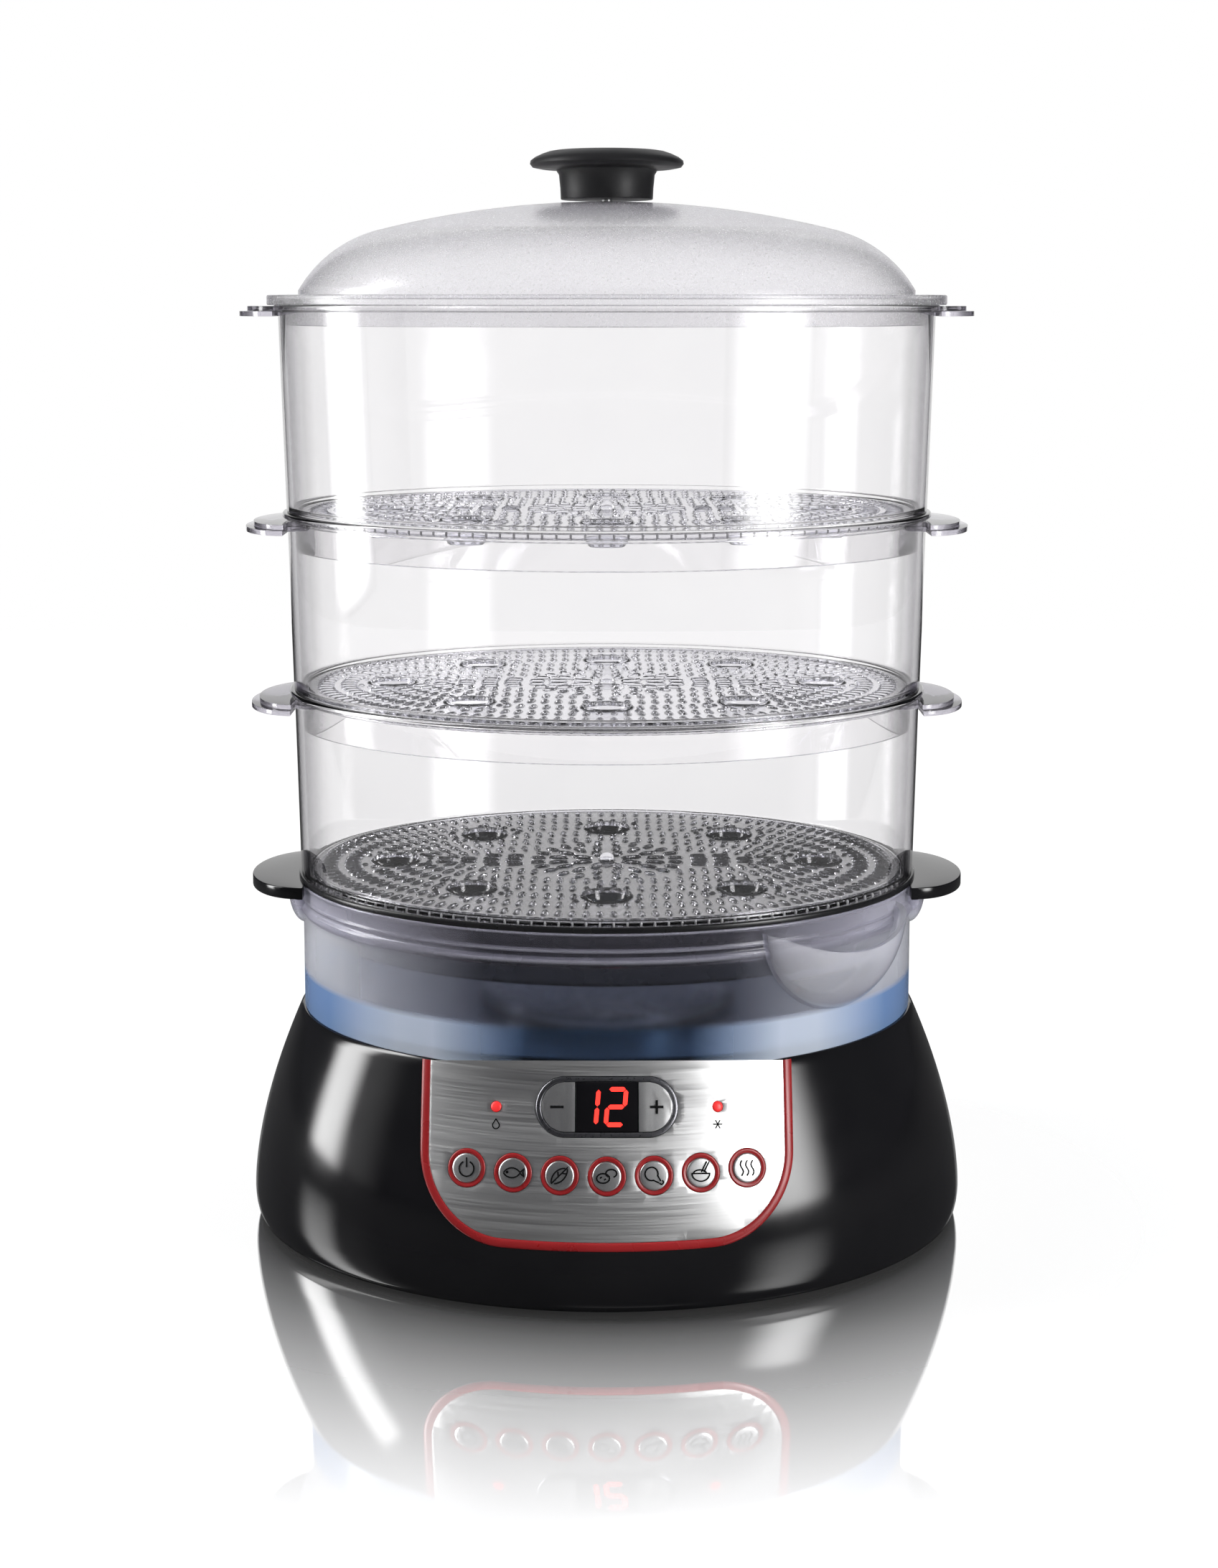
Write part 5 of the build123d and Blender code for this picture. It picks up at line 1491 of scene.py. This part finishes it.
TIERS = (
    Tier(1, 138.5, 73.0, 120.9, 122.4, 119.6, 0.6, 2.1),
    Tier(2, 211.5, 69.0, 122.6, 124.2, 120.2, 2.0, 14.0),
    Tier(3, 280.5, 79.0, 124.4, 126.5, 122.0, 2.4, 14.0),
)


@dataclass
class Bowl:
    """One clear bowl with its rim, skirt, shelf and two grips."""

    shop: Workshop
    tier: Tier
    wall: float = 2.2
    flange: float = 1.8
    flange_thickness: float = 2.2
    shelf_reach: float = 5.0
    shelf_thickness: float = 1.5
    shoulder: float = 2.0

    def build(self) -> None:
        """Builds the bowl's shell and grips."""
        t = self.tier
        rim = t.foot + t.height
        outer, inner = t.skirt_outer(), t.skirt_outer() - 1.6
        shelf_top = t.foot - t.shelf_drop
        shelf_low = shelf_top - self.shelf_thickness
        skirt_foot = t.foot - t.skirt
        skirt_end = [
            Corner(inner, shelf_low), Corner(inner, skirt_foot, 0.5)
        ] if skirt_foot < shelf_low - 0.1 else []
        shell = turned([
            Corner(t.foot_half, t.foot, 0.8), Corner(t.rim_half, rim - self.flange_thickness, 0.6),
            Corner(t.rim_half + self.flange, rim - self.flange_thickness, 0.7),
            Corner(t.rim_half + self.flange, rim, 0.9),
            Corner(t.rim_half - self.wall, rim, 0.7),
            Corner(t.foot_half - self.wall, t.foot + self.shoulder, 0.8),
            Corner(inner, t.foot + self.shoulder, 0.5), Corner(inner, shelf_top, 0.3),
            Corner(inner - self.shelf_reach, shelf_top, 0.4),
            Corner(inner - self.shelf_reach, shelf_low, 0.4), *skirt_end, Corner(outer, skirt_foot, 0.5),
            Corner(outer, t.foot, 0.3),
        ])
        body = f"bowl_{t.number}"
        self.shop.finish(shell, f"{body}_shell", body, Coat.CLEAR_BOWL, [body], 40)
        reach = 141.5 - (3 - t.number)
        low = rim - (4.2 if t.number == 3 else 7.6)
        root = t.rim_half - self.wall
        grips = [
            *Grip(reach, root, 31.0, low, 1.9, 0.7, -0.6).pair(),
            *Grip(reach - 3.0, root, 28.0, low + 2.0, 1.8, 0.6, -0.6).pair()
        ]
        # The grips take a darker copy of the bowl plastic: painted shade.
        grip_painted_shade = self.shop.paints.special("clear_grip_painted_shade", GRIP_PAINTED_SHADE)
        self.shop.finish(gathered(grips), f"{body}_grips", body, Coat.CLEAR_BOWL, (), 40, grip_painted_shade)


@dataclass
class PlatePattern:
    """Where the slots, dots and egg places of a plate are."""

    outer_across: float = 110.0
    outer_deep: float = 81.5
    row_across: float = 9.0
    row_deep: float = 12.0
    rows: int = 6
    pitch: float = 5.05
    slot_length: float = 6.4
    slot_width: float = 2.2
    cup_across: float = 84.0
    cup_deep: float = 55.5
    cup_pair: float = 51.0
    cup_radius: float = 9.6
    flower_radius: float = 30.5

    def cups(self) -> list[Point]:
        """Returns the middles of the eight egg places."""
        deep = self.cup_deep * math.sqrt(1 - (self.cup_pair / self.cup_across) ** 2)
        corners = [(sx * self.cup_pair, sy * deep) for sx in (-1, 1) for sy in (-1, 1)]
        return [
            (self.cup_across, 0), (-self.cup_across, 0), (0, self.cup_deep), (0, -self.cup_deep), *corners
        ]

    def slots(self) -> list[Slot]:
        """Returns the slots as x, y, the way they point, length and width, none touching another."""
        wanted = []
        for count, radius, length, width in ((8, 10.6, 8.2, 3.6), (16, 19.6, 7.4, 3.2), (24, 27.6, 5.6, 2.8)):
            turns = [math.tau * (n + 0.5) / count for n in range(count)]
            wanted += [
                (radius * math.cos(turn), radius * math.sin(turn), turn, length, width) for turn in turns
            ]
        for row in range(self.rows):
            across, deep = self.outer_across - row * self.row_across, self.outer_deep - row * self.row_deep
            wanted += [
                (x, y, turn, self.slot_length, self.slot_width)
                for x, y, turn in spaced_oval(across, deep, self.pitch)
            ]
        for radius in (37.0, 46.0, 55.0):
            wanted += [
                (x, y, turn, self.slot_length, self.slot_width)
                for x, y, turn in spaced_oval(radius, radius, self.pitch)
            ]
        found: list[Slot] = []
        for slot in wanted:
            x, y, turn, length, width = slot
            reach = length / 2
            ends = [
                (x + share * reach * math.cos(turn), y + share * reach * math.sin(turn))
                for share in (-1.0, -0.5, 0.0, 0.5, 1.0)
            ]
            if any(
                math.hypot(px - cx, py - cy) < self.cup_radius + 2.2
                for px, py in ends for cx, cy in self.cups()
            ):
                continue
            near = [other for other in found if math.hypot(other[0] - x, other[1] - y) < 14.0]
            gaps = [
                (slot_gap(other, px, py), math.hypot(px - x, py - y)) for other in near for px, py in ends
            ]
            if all(gap > width / 2 + 1.2 or (off > reach * 0.9 and gap > 1.3) for gap, off in gaps):
                found.append(slot)
        return found

    def dots(self, slots: Sequence[Slot]) -> list[Point]:
        """Returns the small round holes round the egg places, clear of the slots."""
        found: list[Point] = []
        reach = self.cup_radius + 4.2
        for cx, cy in self.cups():
            for n in range(16):
                turn = math.tau * (n + 0.5) / 16
                x, y = cx + reach * math.cos(turn), cy + reach * math.sin(turn)
                past_edge = (x / (self.outer_across + 3)) ** 2 + (y / (self.outer_deep + 3)) ** 2 > 1
                if past_edge or math.hypot(x, y) < self.flower_radius + 2:
                    continue
                if any(slot_gap(slot, x, y) < 1.7 for slot in slots):
                    continue
                if all(math.hypot(x - px, y - py) > 3.4 for px, py in found):
                    found.append((x, y))
        return found


def spaced_oval(across: float, deep: float, pitch: float) -> list[Triple]:
    """Returns points a pitch apart round an oval, even on both axes, with the way its side faces there."""
    steps = 720
    walk = [
        (across * math.sin(math.tau * n / steps), deep * math.cos(math.tau * n / steps))
        for n in range(steps + 1)
    ]
    run = [0.0]
    for (x0, y0), (x1, y1) in zip(walk, walk[1:]):
        run.append(run[-1] + math.hypot(x1 - x0, y1 - y0))
    count = 4 * round(run[-1] / pitch / 4)
    found, n = [], 0
    for k in range(count):
        goal = run[-1] * (k + 0.5) / count
        while run[n + 1] < goal:
            n += 1
        share = (goal - run[n]) / (run[n + 1] - run[n])
        x = walk[n][0] + (walk[n + 1][0] - walk[n][0]) * share
        y = walk[n][1] + (walk[n + 1][1] - walk[n][1]) * share
        found.append((x, y, math.atan2(y / deep**2, x / across**2)))
    return found


def slot_gap(slot: Slot, x: float, y: float) -> float:
    """Returns how far a point is from the edge of a slot."""
    sx, sy, turn, length, width = slot
    along = (x - sx) * math.cos(turn) + (y - sy) * math.sin(turn)
    side = (y - sy) * math.cos(turn) - (x - sx) * math.sin(turn)
    past = max(0.0, abs(along) - (length - width) / 2)
    return math.hypot(past, side) - width / 2


@dataclass
class SteamPlate:
    """One perforated plate with raised slot rims, egg places, a middle boss and a ribbed edge."""

    shop: Workshop
    tier: Tier
    pattern: PlatePattern = field(default_factory=PlatePattern)
    thickness: float = 1.8
    bead: float = 3.0
    rib_pitch: float = 5.0
    rib_drop: float = 1.85
    rib_size: Triple = (0.7, 0.5, 0.85)
    land_width: float = 0.55
    land_drop: float = 0.50
    cup_steps: tuple[Point, ...] = (
        (0.985, -0.35), (0.96, -0.1), (0.93, 0.8), (0.86, 2.6), (0.77, 4.6), (0.70, 5.9), (0.64, 6.3),
    )
    boss_steps: tuple[Point, ...] = ((2.9, 0.6), (2.4, 1.7), (1.5, 2.35), (0.6, 2.5))

    def build(self) -> None:
        """Builds the plate."""
        t = self.tier
        half = t.plate_half()
        grow = half / 116.7
        top = t.foot - t.shelf_drop + self.bead
        sheet = bmesh.new()
        rim = ring_of(sheet, 1.0, (0, 0), 160, ((half - 2.6) / grow, (half - 2.6) / grow * OVAL))
        slots = self.pattern.slots()
        for x, y, turn, length, width in slots:
            ring_of(sheet, 1.0, (x, y), 10, (length / 2, width / 2), turn)
        for place in self.pattern.dots(slots):
            ring_of(sheet, 0.95, place, 8)
        cups = [ring_of(sheet, self.pattern.cup_radius, place, 36) for place in self.pattern.cups()]
        boss = ring_of(sheet, 3.0, (0, 0), 20)
        filled(sheet)
        bmesh.ops.inset_region(
            sheet, faces=sheet.faces[:], thickness=self.land_width, depth=-self.land_drop, use_boundary=True,
            use_even_offset=False,
        )
        for loop in cups:
            self.cup(sheet, loop)
        self.dome(sheet, boss)
        for vert in rim:
            vert.co.z = -self.land_drop
        under(sheet, self.thickness - self.land_drop)
        bmesh.ops.scale(sheet, vec=(grow, grow, 1), verts=sheet.verts)
        shifted(sheet, 0, 0, top)
        edge = turned([
            Corner(half - 2.9, top, 0.4), Corner(half, top, 0.7, 4), Corner(half, top - self.bead, 0.4),
            Corner(half - 1.3, top - self.bead, 0.4), Corner(half - 1.3, top - 1.5),
            Corner(half - 2.9, top - 1.5, 0.3),
        ])
        ribs = bmesh.new()
        for x, y, turn in spaced_oval(half - 0.1, (half - 0.1) * OVAL, self.rib_pitch):
            place = placed((x, y, top - self.rib_drop), turn, self.rib_size)
            bmesh.ops.create_uvsphere(ribs, u_segments=8, v_segments=6, radius=1.0, matrix=place)
        name = f"bowl_plate_{t.number}"
        self.shop.finish(gathered([sheet, edge]), f"{name}_sheet", name, Coat.CLEAR_PLATE, [name], 33)
        # The ribs take a light copy of the plate plastic: painted highlight.
        pip = self.shop.paints.special("plate_pip_painted_glint", PIP_PAINTED_GLINT)
        self.shop.finish(ribs, f"{name}_pips", name, Coat.CLEAR_PLATE, (), 50, pip)

    def cup(self, sheet: Shape, loop: Corners) -> None:
        """Draws an egg place down from its ring.

        Args:
            sheet: The plate's sheet.
            loop: The ring of corners round the hole.
        """
        middle = sum((v.co for v in loop), Vector()) / len(loop)
        steps = [(self.pattern.cup_radius * shrink, -drop) for shrink, drop in self.cup_steps]
        self.drawn(sheet, loop, (middle.x, middle.y), steps)

    def drawn(
        self, sheet: Shape, loop: Corners, middle: Point, steps: Sequence[Point]
    ) -> list[bmesh.types.BMEdge]:
        """Draws a round hole's edge on through rings of a radius and a height.

        Args:
            sheet: The plate's sheet.
            loop: The ring of corners round the hole.
            middle: The hole's middle.
            steps: The radius and height of each ring.

        Returns:
            The edges of the last ring.
        """
        ring = set(loop)
        edges = [e for v in loop for e in v.link_edges if e.other_vert(v) in ring and e.is_boundary]
        for radius, height in steps:
            made = bmesh.ops.extrude_edge_only(sheet, edges=list(set(edges)))["geom"]
            edges = grown(made, bmesh.types.BMEdge)
            for vert in grown(made, bmesh.types.BMVert):
                flat = Vector((vert.co.x - middle[0], vert.co.y - middle[1], 0)).normalized() * radius
                vert.co = Vector((middle[0] + flat.x, middle[1] + flat.y, height))
        return edges

    def dome(self, sheet: Shape, loop: Corners) -> None:
        """Raises the little boss in the middle.

        Args:
            sheet: The plate's sheet.
            loop: The ring of corners round it.
        """
        bmesh.ops.holes_fill(sheet, edges=self.drawn(sheet, loop, (0.0, 0.0), self.boss_steps), sides=0)


# ---------------------------------------------------------------- lid
@dataclass
class LidUnit:
    """The frosted lid, its knob and screw."""

    shop: Workshop
    seat: float = 359.5
    half_width: float = 130.7
    dome: float = 118.6
    top: float = 398.8
    shoulder: float = 88.0
    shoulder_drop: float = 10.9
    dome_foot: float = 5.5
    wall: float = 2.0

    def build(self) -> None:
        """Builds the lid and its knob."""
        self.lid()
        self.knob()
        self.shop.dress("knob_screw", Coat.STEEL)

    def curve(self, inset: float, steps: int = 26) -> list[Corner]:
        """Returns the dome's outline from its crown to its foot, drawn in by inset."""
        big = (self.shoulder**2 + self.shoulder_drop**2) / (2 * self.shoulder_drop)
        end = math.asin(self.shoulder / big)
        crown = [
            (
                (big - inset) * math.sin(end * n / steps),
                self.top - big + (big - inset) * math.cos(end * n / steps)
            )
            for n in range(steps + 1)
        ]
        foot = (self.dome - inset, self.seat + self.dome_foot)
        start, way = Vector(crown[-1]), Vector((math.cos(end), -math.sin(end)))
        normal = Vector((-way.y, way.x)) * -1
        chord = Vector(foot) - start
        radius = chord.length_squared / (2 * chord.dot(normal))
        middle = start + normal * radius
        first = math.atan2(start.y - middle.y, start.x - middle.x)
        last = math.atan2(foot[1] - middle.y, foot[0] - middle.x)
        side = [
            (
                middle.x + radius * math.cos(first + (last - first) * n / steps),
                middle.y + radius * math.sin(first + (last - first) * n / steps)
            )
            for n in range(1, steps + 1)
        ]
        return [Corner(x, z) for x, z in [*crown, *side]]

    def lid(self) -> None:
        """Builds the dome with its rim and the ring that sits in the top bowl."""
        seat, nest = self.seat, 126.5 - 2.2 - 0.5
        outline = [
            *self.curve(0.0), Corner(self.dome, seat + 2.2, 0.5),
            Corner(self.half_width - 2.0, seat + 2.2, 0.4),
            Corner(self.half_width - 2.0, seat + 3.8, 0.5), Corner(self.half_width, seat + 3.8, 0.7),
            Corner(self.half_width, seat, 0.6),
            Corner(nest, seat), Corner(nest, seat - 7.5, 0.6), Corner(nest - 1.6, seat - 7.5, 0.6),
            Corner(nest - 1.6, seat, 0.3),
            Corner(self.dome - self.wall, seat, 0.3), *reversed(self.curve(self.wall)),
        ]
        shape = turned(outline, closed=False)
        self.shop.finish(shape, "lid_shell", "lid", Coat.FROSTED_LID, ["lid"], 40)

    def knob(self) -> None:
        """Builds the turned knob."""
        shape = turned([
            Corner(0, 399.6), Corner(17.7, 399.6, 0.4), Corner(17.9, 404.0), Corner(18.4, 409.0),
            Corner(19.6, 410.9),
            Corner(22.5, 411.3), Corner(26.0, 411.4), Corner(28.6, 411.9), Corner(29.5, 413.1),
            Corner(29.3, 414.3),
            Corner(27.6, 415.6),
            Corner(24.8, 416.9), Corner(22.4, 417.7), Corner(20.6, 418.0), Corner(12.0, 418.0),
            Corner(0, 418.0),
        ], closed=False, oval=1.0, steps=128)
        self.shop.finish(shape, "knob_turned", "lid", Coat.SATIN_BLACK, ["lid_knob"], 45)


# ---------------------------------------------------------------- studio
@dataclass(frozen=True)
class Card:
    """Where a flat card of the stage is: its middle, its turn and its two sides, in metres."""

    at: Triple
    turn: Triple
    size: Point


@dataclass
class Studio:
    """The floor, backdrop, lamps, world and camera."""

    distance: float = 0.890
    height: float = 0.36134
    pitch: float = math.radians(7.0)
    sensor: float = 36.0
    picture_height: float = 2184.0
    focal: float = 3185.6
    middle_row: float = 809.15
    middle_offset: float = 3.0
    through: float = 1.08
    dim: tuple[float, ...] = (0.045, 0.045, 0.050, 1)
    even: tuple[float, ...] = (0.42, 0.42, 0.44, 1)
    white: tuple[float, ...] = (1, 1, 1, 1)

    def build(self) -> None:
        """Sets up everything round the steamer."""
        self.camera()
        self.world()
        self.floor()
        self.backdrop()
        self.lamps()
        view = bpy.context.scene.view_settings
        view.view_transform = "Standard"
        cycles = bpy.context.scene.cycles
        cycles.max_bounces, cycles.transmission_bounces, cycles.glossy_bounces = 28, 26, 8
        cycles.transparent_max_bounces = 24

    def camera(self) -> None:
        """Places the camera in front, a little above, looking slightly down."""
        data = bpy.data.cameras.new("camera")
        data.sensor_fit, data.sensor_height, data.sensor_width = "VERTICAL", self.sensor, self.sensor
        data.lens = self.focal * self.sensor / self.picture_height
        data.shift_y = -(self.picture_height / 2 - self.middle_row) / self.picture_height
        data.shift_x = self.middle_offset / self.picture_height
        data.clip_start, data.clip_end = 0.05, 50.0
        camera = bpy.data.objects.new("camera", data)
        camera.location = (0, -self.distance, self.height)
        camera.rotation_euler = (math.pi / 2 - self.pitch, 0, 0)
        bpy.context.scene.collection.objects.link(camera)
        bpy.context.scene.camera = camera

    def world(self) -> None:
        """Makes the world white to the eye and straight through glass, grey as light and dim in gloss."""
        world = bpy.data.worlds.new("studio")
        bpy.context.scene.world = world
        world.use_nodes = True
        tree = world.node_tree
        back = next(n for n in tree.nodes if n.type == "BACKGROUND")
        path = tree.nodes.new("ShaderNodeLightPath")
        dim = self.mixed(tree, path.outputs["Is Diffuse Ray"], self.dim, self.even)
        straight = tree.nodes.new("ShaderNodeMath")
        straight.operation = "LESS_THAN"
        tree.links.new(path.outputs["Glossy Depth"], straight.inputs[0])
        straight.inputs[1].default_value = 0.5
        through = tree.nodes.new("ShaderNodeMath")
        through.operation = "MULTIPLY"
        tree.links.new(path.outputs["Is Transmission Ray"], through.inputs[0])
        tree.links.new(straight.outputs[0], through.inputs[1])
        clear = self.mixed(tree, through.outputs[0], dim, self.white)
        seen = self.mixed(tree, path.outputs["Is Camera Ray"], clear, self.white)
        tree.links.new(seen, back.inputs["Color"])

    def mixed(self, tree: bpy.types.NodeTree, share: Socket, first: object, second: object) -> Socket:
        """Returns a colour between two colours or colour sockets of a node tree."""
        mix = tree.nodes.new("ShaderNodeMix")
        mix.data_type = "RGBA"
        tree.links.new(share, mix.inputs[0])
        for index, value in ((6, first), (7, second)):
            if isinstance(value, Socket):
                tree.links.new(value, mix.inputs[index])
            else:
                mix.inputs[index].default_value = value
        return mix.outputs[2]

    def seen_by(self, graph: Graph, *rays: str) -> Socket:
        """Returns 1 for the named kinds of ray and 0 for the others."""
        path = graph.node("LightPath")
        level = path.outputs[rays[0]]
        for ray in rays[1:]:
            level = graph.maths("MAXIMUM", level, path.outputs[ray])
        return level

    def floor(self) -> None:
        """Lays a pale polished floor, which mirrors most close to the steamer."""
        graph = Graph("floor_white")
        spot = graph.node("TexCoord").outputs["Object"]
        stretched = graph.node("Mapping", Vector=spot, Scale=(1 / 0.141, 1 / 0.1125, 0)).outputs["Vector"]
        reach = graph.node("VectorMath", a_operation="LENGTH", i0=stretched).outputs["Value"]
        far = graph.spread(reach, 0.0, 1.0, 2.2, 4.5)
        eye = self.seen_by(graph, "Is Camera Ray", "Is Transmission Ray")
        near_eye = graph.maths("MULTIPLY", eye, graph.spread(far, 1.0, 0.0, 0, 1))
        graph.set(
            Base_Color=graph.blend(near_eye, (0.06, 0.06, 0.06), (0.52, 0.52, 0.52)), Roughness=0.9,
            Specular_IOR_Level=0.0
        )
        behind = graph.spread(reach, 0.93, self.through, 6.5, 13.0)
        whole = graph.between(self.seen_by(graph, "Is Transmission Ray"), 1.0, behind)
        level = graph.between(far, 0.40, whole)
        glow = graph.node("Emission", Color=self.white, Strength=graph.maths("MULTIPLY", eye, level))
        base = graph.node("AddShader", i0=graph.shader.outputs[0], i1=glow.outputs[0])
        share = graph.spread(self.seen_by(graph, "Is Camera Ray"), 0.28, 1.0, 0, 1)
        near = graph.maths("MULTIPLY", graph.spread(reach, 0.95, 0.0, 1.0, 2.45), share)
        mirror = graph.node("BsdfGlossy", Roughness=0.03, Color=self.white)
        mixed = graph.node("MixShader", i0=near, i1=base.outputs[0], i2=mirror.outputs[0])
        graph.tree.links.new(mixed.outputs[0], graph.output.inputs["Surface"])
        self.card("floor", Card((0, 0, -0.0002), (0, 0, 0), (8.0, 8.0)), graph.material)

    def backdrop(self) -> None:
        """Hangs a white sheet behind the steamer."""
        graph = Graph("backdrop_white")
        eye = self.seen_by(graph, "Is Camera Ray", "Is Glossy Ray")
        through = self.seen_by(graph, "Is Transmission Ray")
        level = graph.maths(
            "MAXIMUM", graph.maths("MULTIPLY", through, self.through), graph.spread(eye, 0.6, 1.0, 0, 1)
        )
        glow = graph.node("Emission", Color=self.white, Strength=level)
        graph.tree.links.new(glow.outputs[0], graph.output.inputs["Surface"])
        self.card("backdrop", Card((0, 1.6, 0.9), (math.pi / 2, 0, 0), (1.7, 2.2)), graph.material)

    def card(self, name: str, spot: Card, material: Material) -> bpy.types.Object:
        """Puts up a flat card of the stage.

        Args:
            name: Its name.
            spot: Its place, turn and size.
            material: Its material.

        Returns:
            The card.
        """
        shape = bmesh.new()
        bmesh.ops.create_grid(shape, x_segments=1, y_segments=1, size=0.5)
        bmesh.ops.scale(shape, vec=(spot.size[0], spot.size[1], 1), verts=shape.verts)
        mesh = bpy.data.meshes.new(name)
        shape.to_mesh(mesh)
        shape.free()
        card = bpy.data.objects.new(name, mesh)
        card.location, card.rotation_euler = spot.at, spot.turn
        bpy.context.scene.collection.objects.link(card)
        mesh.materials.append(material)
        return card

    def softbox(self, name: str, azimuth: float, low: float, high: float, width: float, strength: float,
                hard: Point = (0.5, 0.95), distance: float = 0.85) -> None:
        """Hangs an upright soft light whose edges fade.

        Args:
            name: Its name.
            azimuth: Where it is round the steamer, in degrees from the front, more to the right.
            low: The height of its foot.
            high: The height of its top.
            width: Its width.
            strength: How bright its middle is.
            hard: How far out from its middle it is at full strength, across and up, as a share.
            distance: How far it is from the steamer's axis.
        """
        graph = Graph(name)
        spot = graph.node("TexCoord").outputs["Object"]
        stretched = graph.node(
            "Mapping", Vector=spot, Scale=(2 / width, 2 / (high - low), 0)
        ).outputs["Vector"]
        parts = graph.node("SeparateXYZ", Vector=stretched)
        level: Socket | float = strength
        for axis, start in zip(("X", "Y"), hard):
            reach = graph.maths("ABSOLUTE", parts.outputs[axis])
            fade = graph.node("MapRange", a_interpolation_type="SMOOTHSTEP", Value=reach)
            fade.inputs["From Min"].default_value, fade.inputs["From Max"].default_value = start, 1.0
            fade.inputs["To Min"].default_value, fade.inputs["To Max"].default_value = 1.0, 0.0
            level = graph.maths("MULTIPLY", level, fade.outputs["Result"])
        glow = graph.node("Emission", Color=self.white, Strength=level)
        graph.tree.links.new(glow.outputs[0], graph.output.inputs["Surface"])
        turn = math.radians(azimuth)
        at = (distance * math.sin(turn), -distance * math.cos(turn), (low + high) / 2)
        self.card(
            name, Card(at, (math.pi / 2, 0, turn), (width, high - low)), graph.material
        ).visible_camera = False

    def lamps(self) -> None:
        """Hangs the lights: strong and upright on the left, softer on the right front, broad above."""
        self.softbox("softbox_left", -87.5, 0.002, 1.1, 0.34, 14.0, (0.25, 0.95))
        self.softbox("softbox_left_wing", -74.0, 0.002, 1.1, 0.46, 0.7, (0.1, 0.95), 0.95)
        self.softbox("softbox_right", 48.0, 0.002, 0.62, 0.46, 13.0, (0.10, 0.90))
        self.softbox("softbox_high", 8.0, 0.95, 1.5, 0.9, 1.0, (0.3, 0.3), 0.80)
        data = bpy.data.lights.new("lamp_top", "AREA")
        data.shape, data.size, data.size_y, data.energy = "RECTANGLE", 1.2, 0.8, 16.0
        lamp = bpy.data.objects.new("lamp_top", data)
        lamp.location = (0, 0.1, 1.5)
        lamp.visible_glossy = lamp.visible_transmission = False
        bpy.context.scene.collection.objects.link(lamp)


def main() -> None:
    """Builds the steamer and its studio."""
    logging.basicConfig(level=logging.INFO, format="%(name)s %(message)s")
    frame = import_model()
    shop = Workshop(frame["nodes"])
    Studio().build()
    BaseUnit(shop).build()
    ControlFront(shop).build()
    Reservoir(shop).build()
    for tier in TIERS:
        Bowl(shop, tier).build()
        SteamPlate(shop, tier).build()
    LidUnit(shop).build()


if __name__ == "__main__":
    main()
